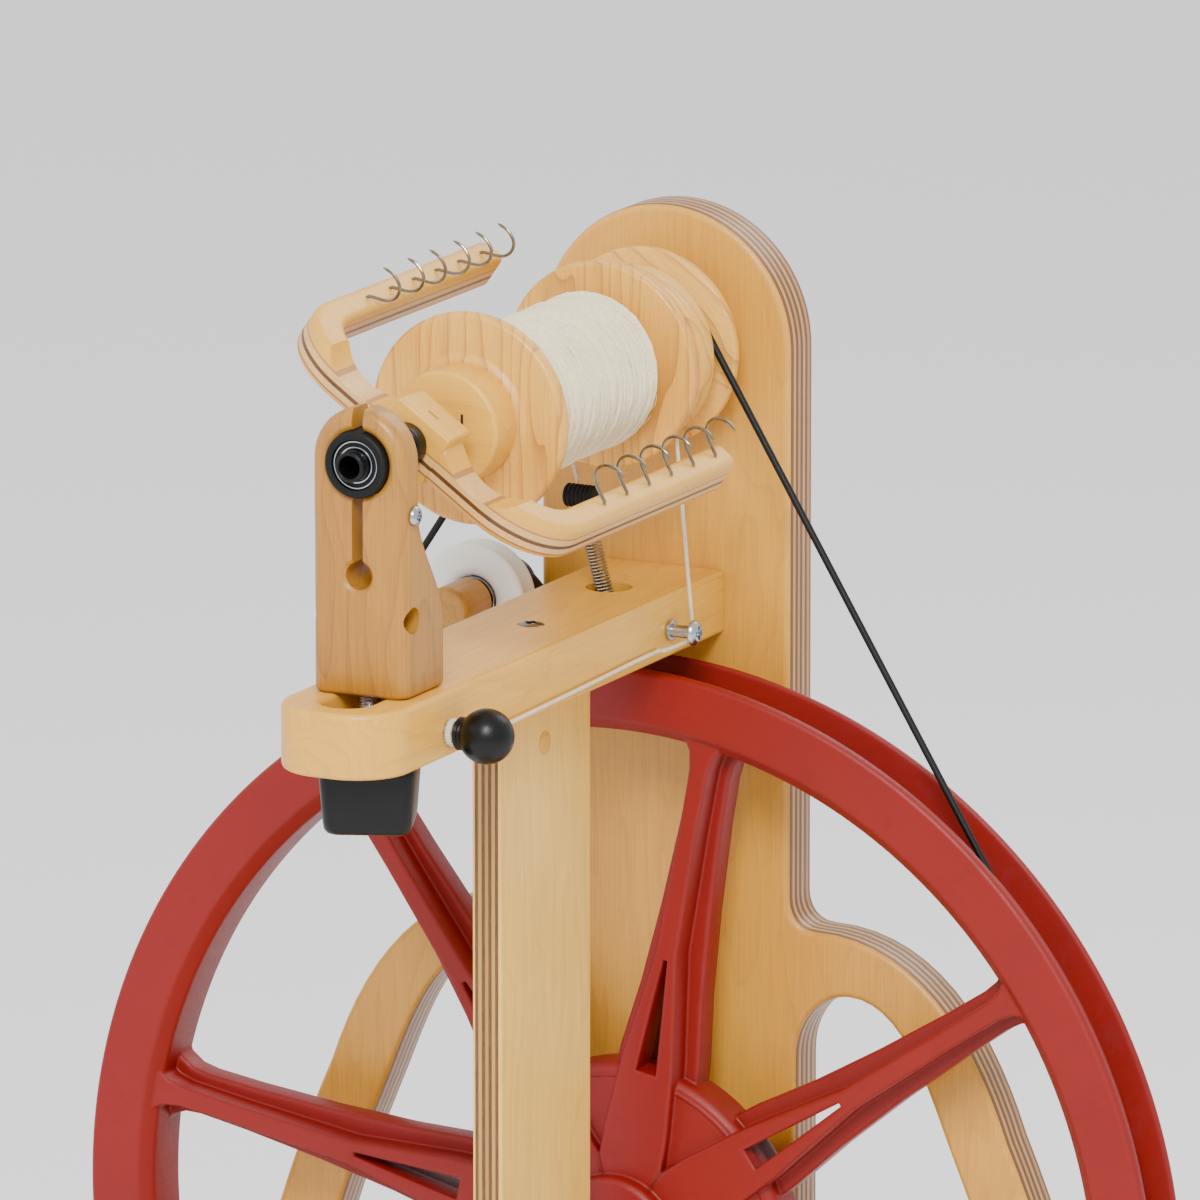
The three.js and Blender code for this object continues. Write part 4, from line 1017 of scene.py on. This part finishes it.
# ---- drive band ----
def band():
    big, small, wheel_y, whorl_y = 193.0, 26.375, -32, -20
    rise = math.asin((big - small) / FLYER_Z)
    points = []
    for radius, y, z, start, stop, steps in ((small, whorl_y, FLYER_Z, rise, math.pi - rise, 40),
                                             (big, wheel_y, 0, math.pi - rise, 2 * math.pi + rise, 160)):
        for k in range(steps + 1):
            a = start + (stop - start) * k / steps
            points.append((radius * math.cos(a), y, z + radius * math.sin(a)))
    return tube(points, 1.25, 12, True)


piece("drive_band_loop", band(), "band", "frame", "drive_band")


# ---- room, light and camera ----
def plane(name, size, matrix, material):
    s = size / 2
    mesh = bpy.data.meshes.new(name)
    mesh.from_pydata([(-s, -s, 0), (s, -s, 0), (s, s, 0), (-s, s, 0)], [], [(0, 1, 2, 3)])
    mesh.materials.append(material)
    obj = bpy.data.objects.new(name, mesh)
    obj.matrix_world = matrix
    bpy.context.scene.collection.objects.link(obj)


pale = bpy.data.materials.new("pale_floor")
pale.use_nodes = True
pale.node_tree.nodes["Principled BSDF"].inputs["Base Color"].default_value = (0.93, 0.93, 0.93, 1)
pale.node_tree.nodes["Principled BSDF"].inputs["Roughness"].default_value = 0.9
plane("floor", 30, Matrix.Translation((0, 0, -0.0005)), pale)

world = bpy.data.worlds.new("studio")
world.use_nodes = True
world.node_tree.nodes["Background"].inputs["Color"].default_value = (1.0, 1.0, 1.0, 1)
world.node_tree.nodes["Background"].inputs["Strength"].default_value = 1.2
bpy.context.scene.world = world


def lamp(name, place, target, size, power):
    light = bpy.data.lights.new(name, "AREA")
    light.size = size
    light.energy = power
    obj = bpy.data.objects.new(name, light)
    obj.location = place
    obj.rotation_euler = (Vector(target) - Vector(place)).to_track_quat("-Z", "Y").to_euler()
    bpy.context.scene.collection.objects.link(obj)


lamp("key", (0.9, -1.9, 2.2), (0, 0, 0.4), 0.9, 84)
lamp("fill", (-1.7, -1.2, 1.3), (0, 0, 0.4), 1.4, 10)
lamp("back", (0.4, 1.6, 1.9), (0, 0, 0.5), 1.2, 15)

camera = bpy.data.cameras.new("photo_camera")
camera.lens = 450
camera.sensor_width = 36
camera.clip_end = 100
view = bpy.data.objects.new("photo_camera", camera)
view.location = (2.2264, -4.3578, 1.6539)
view.rotation_euler = (math.radians(77.23), 0, math.radians(26.68))
bpy.context.scene.collection.objects.link(view)
bpy.context.scene.camera = view
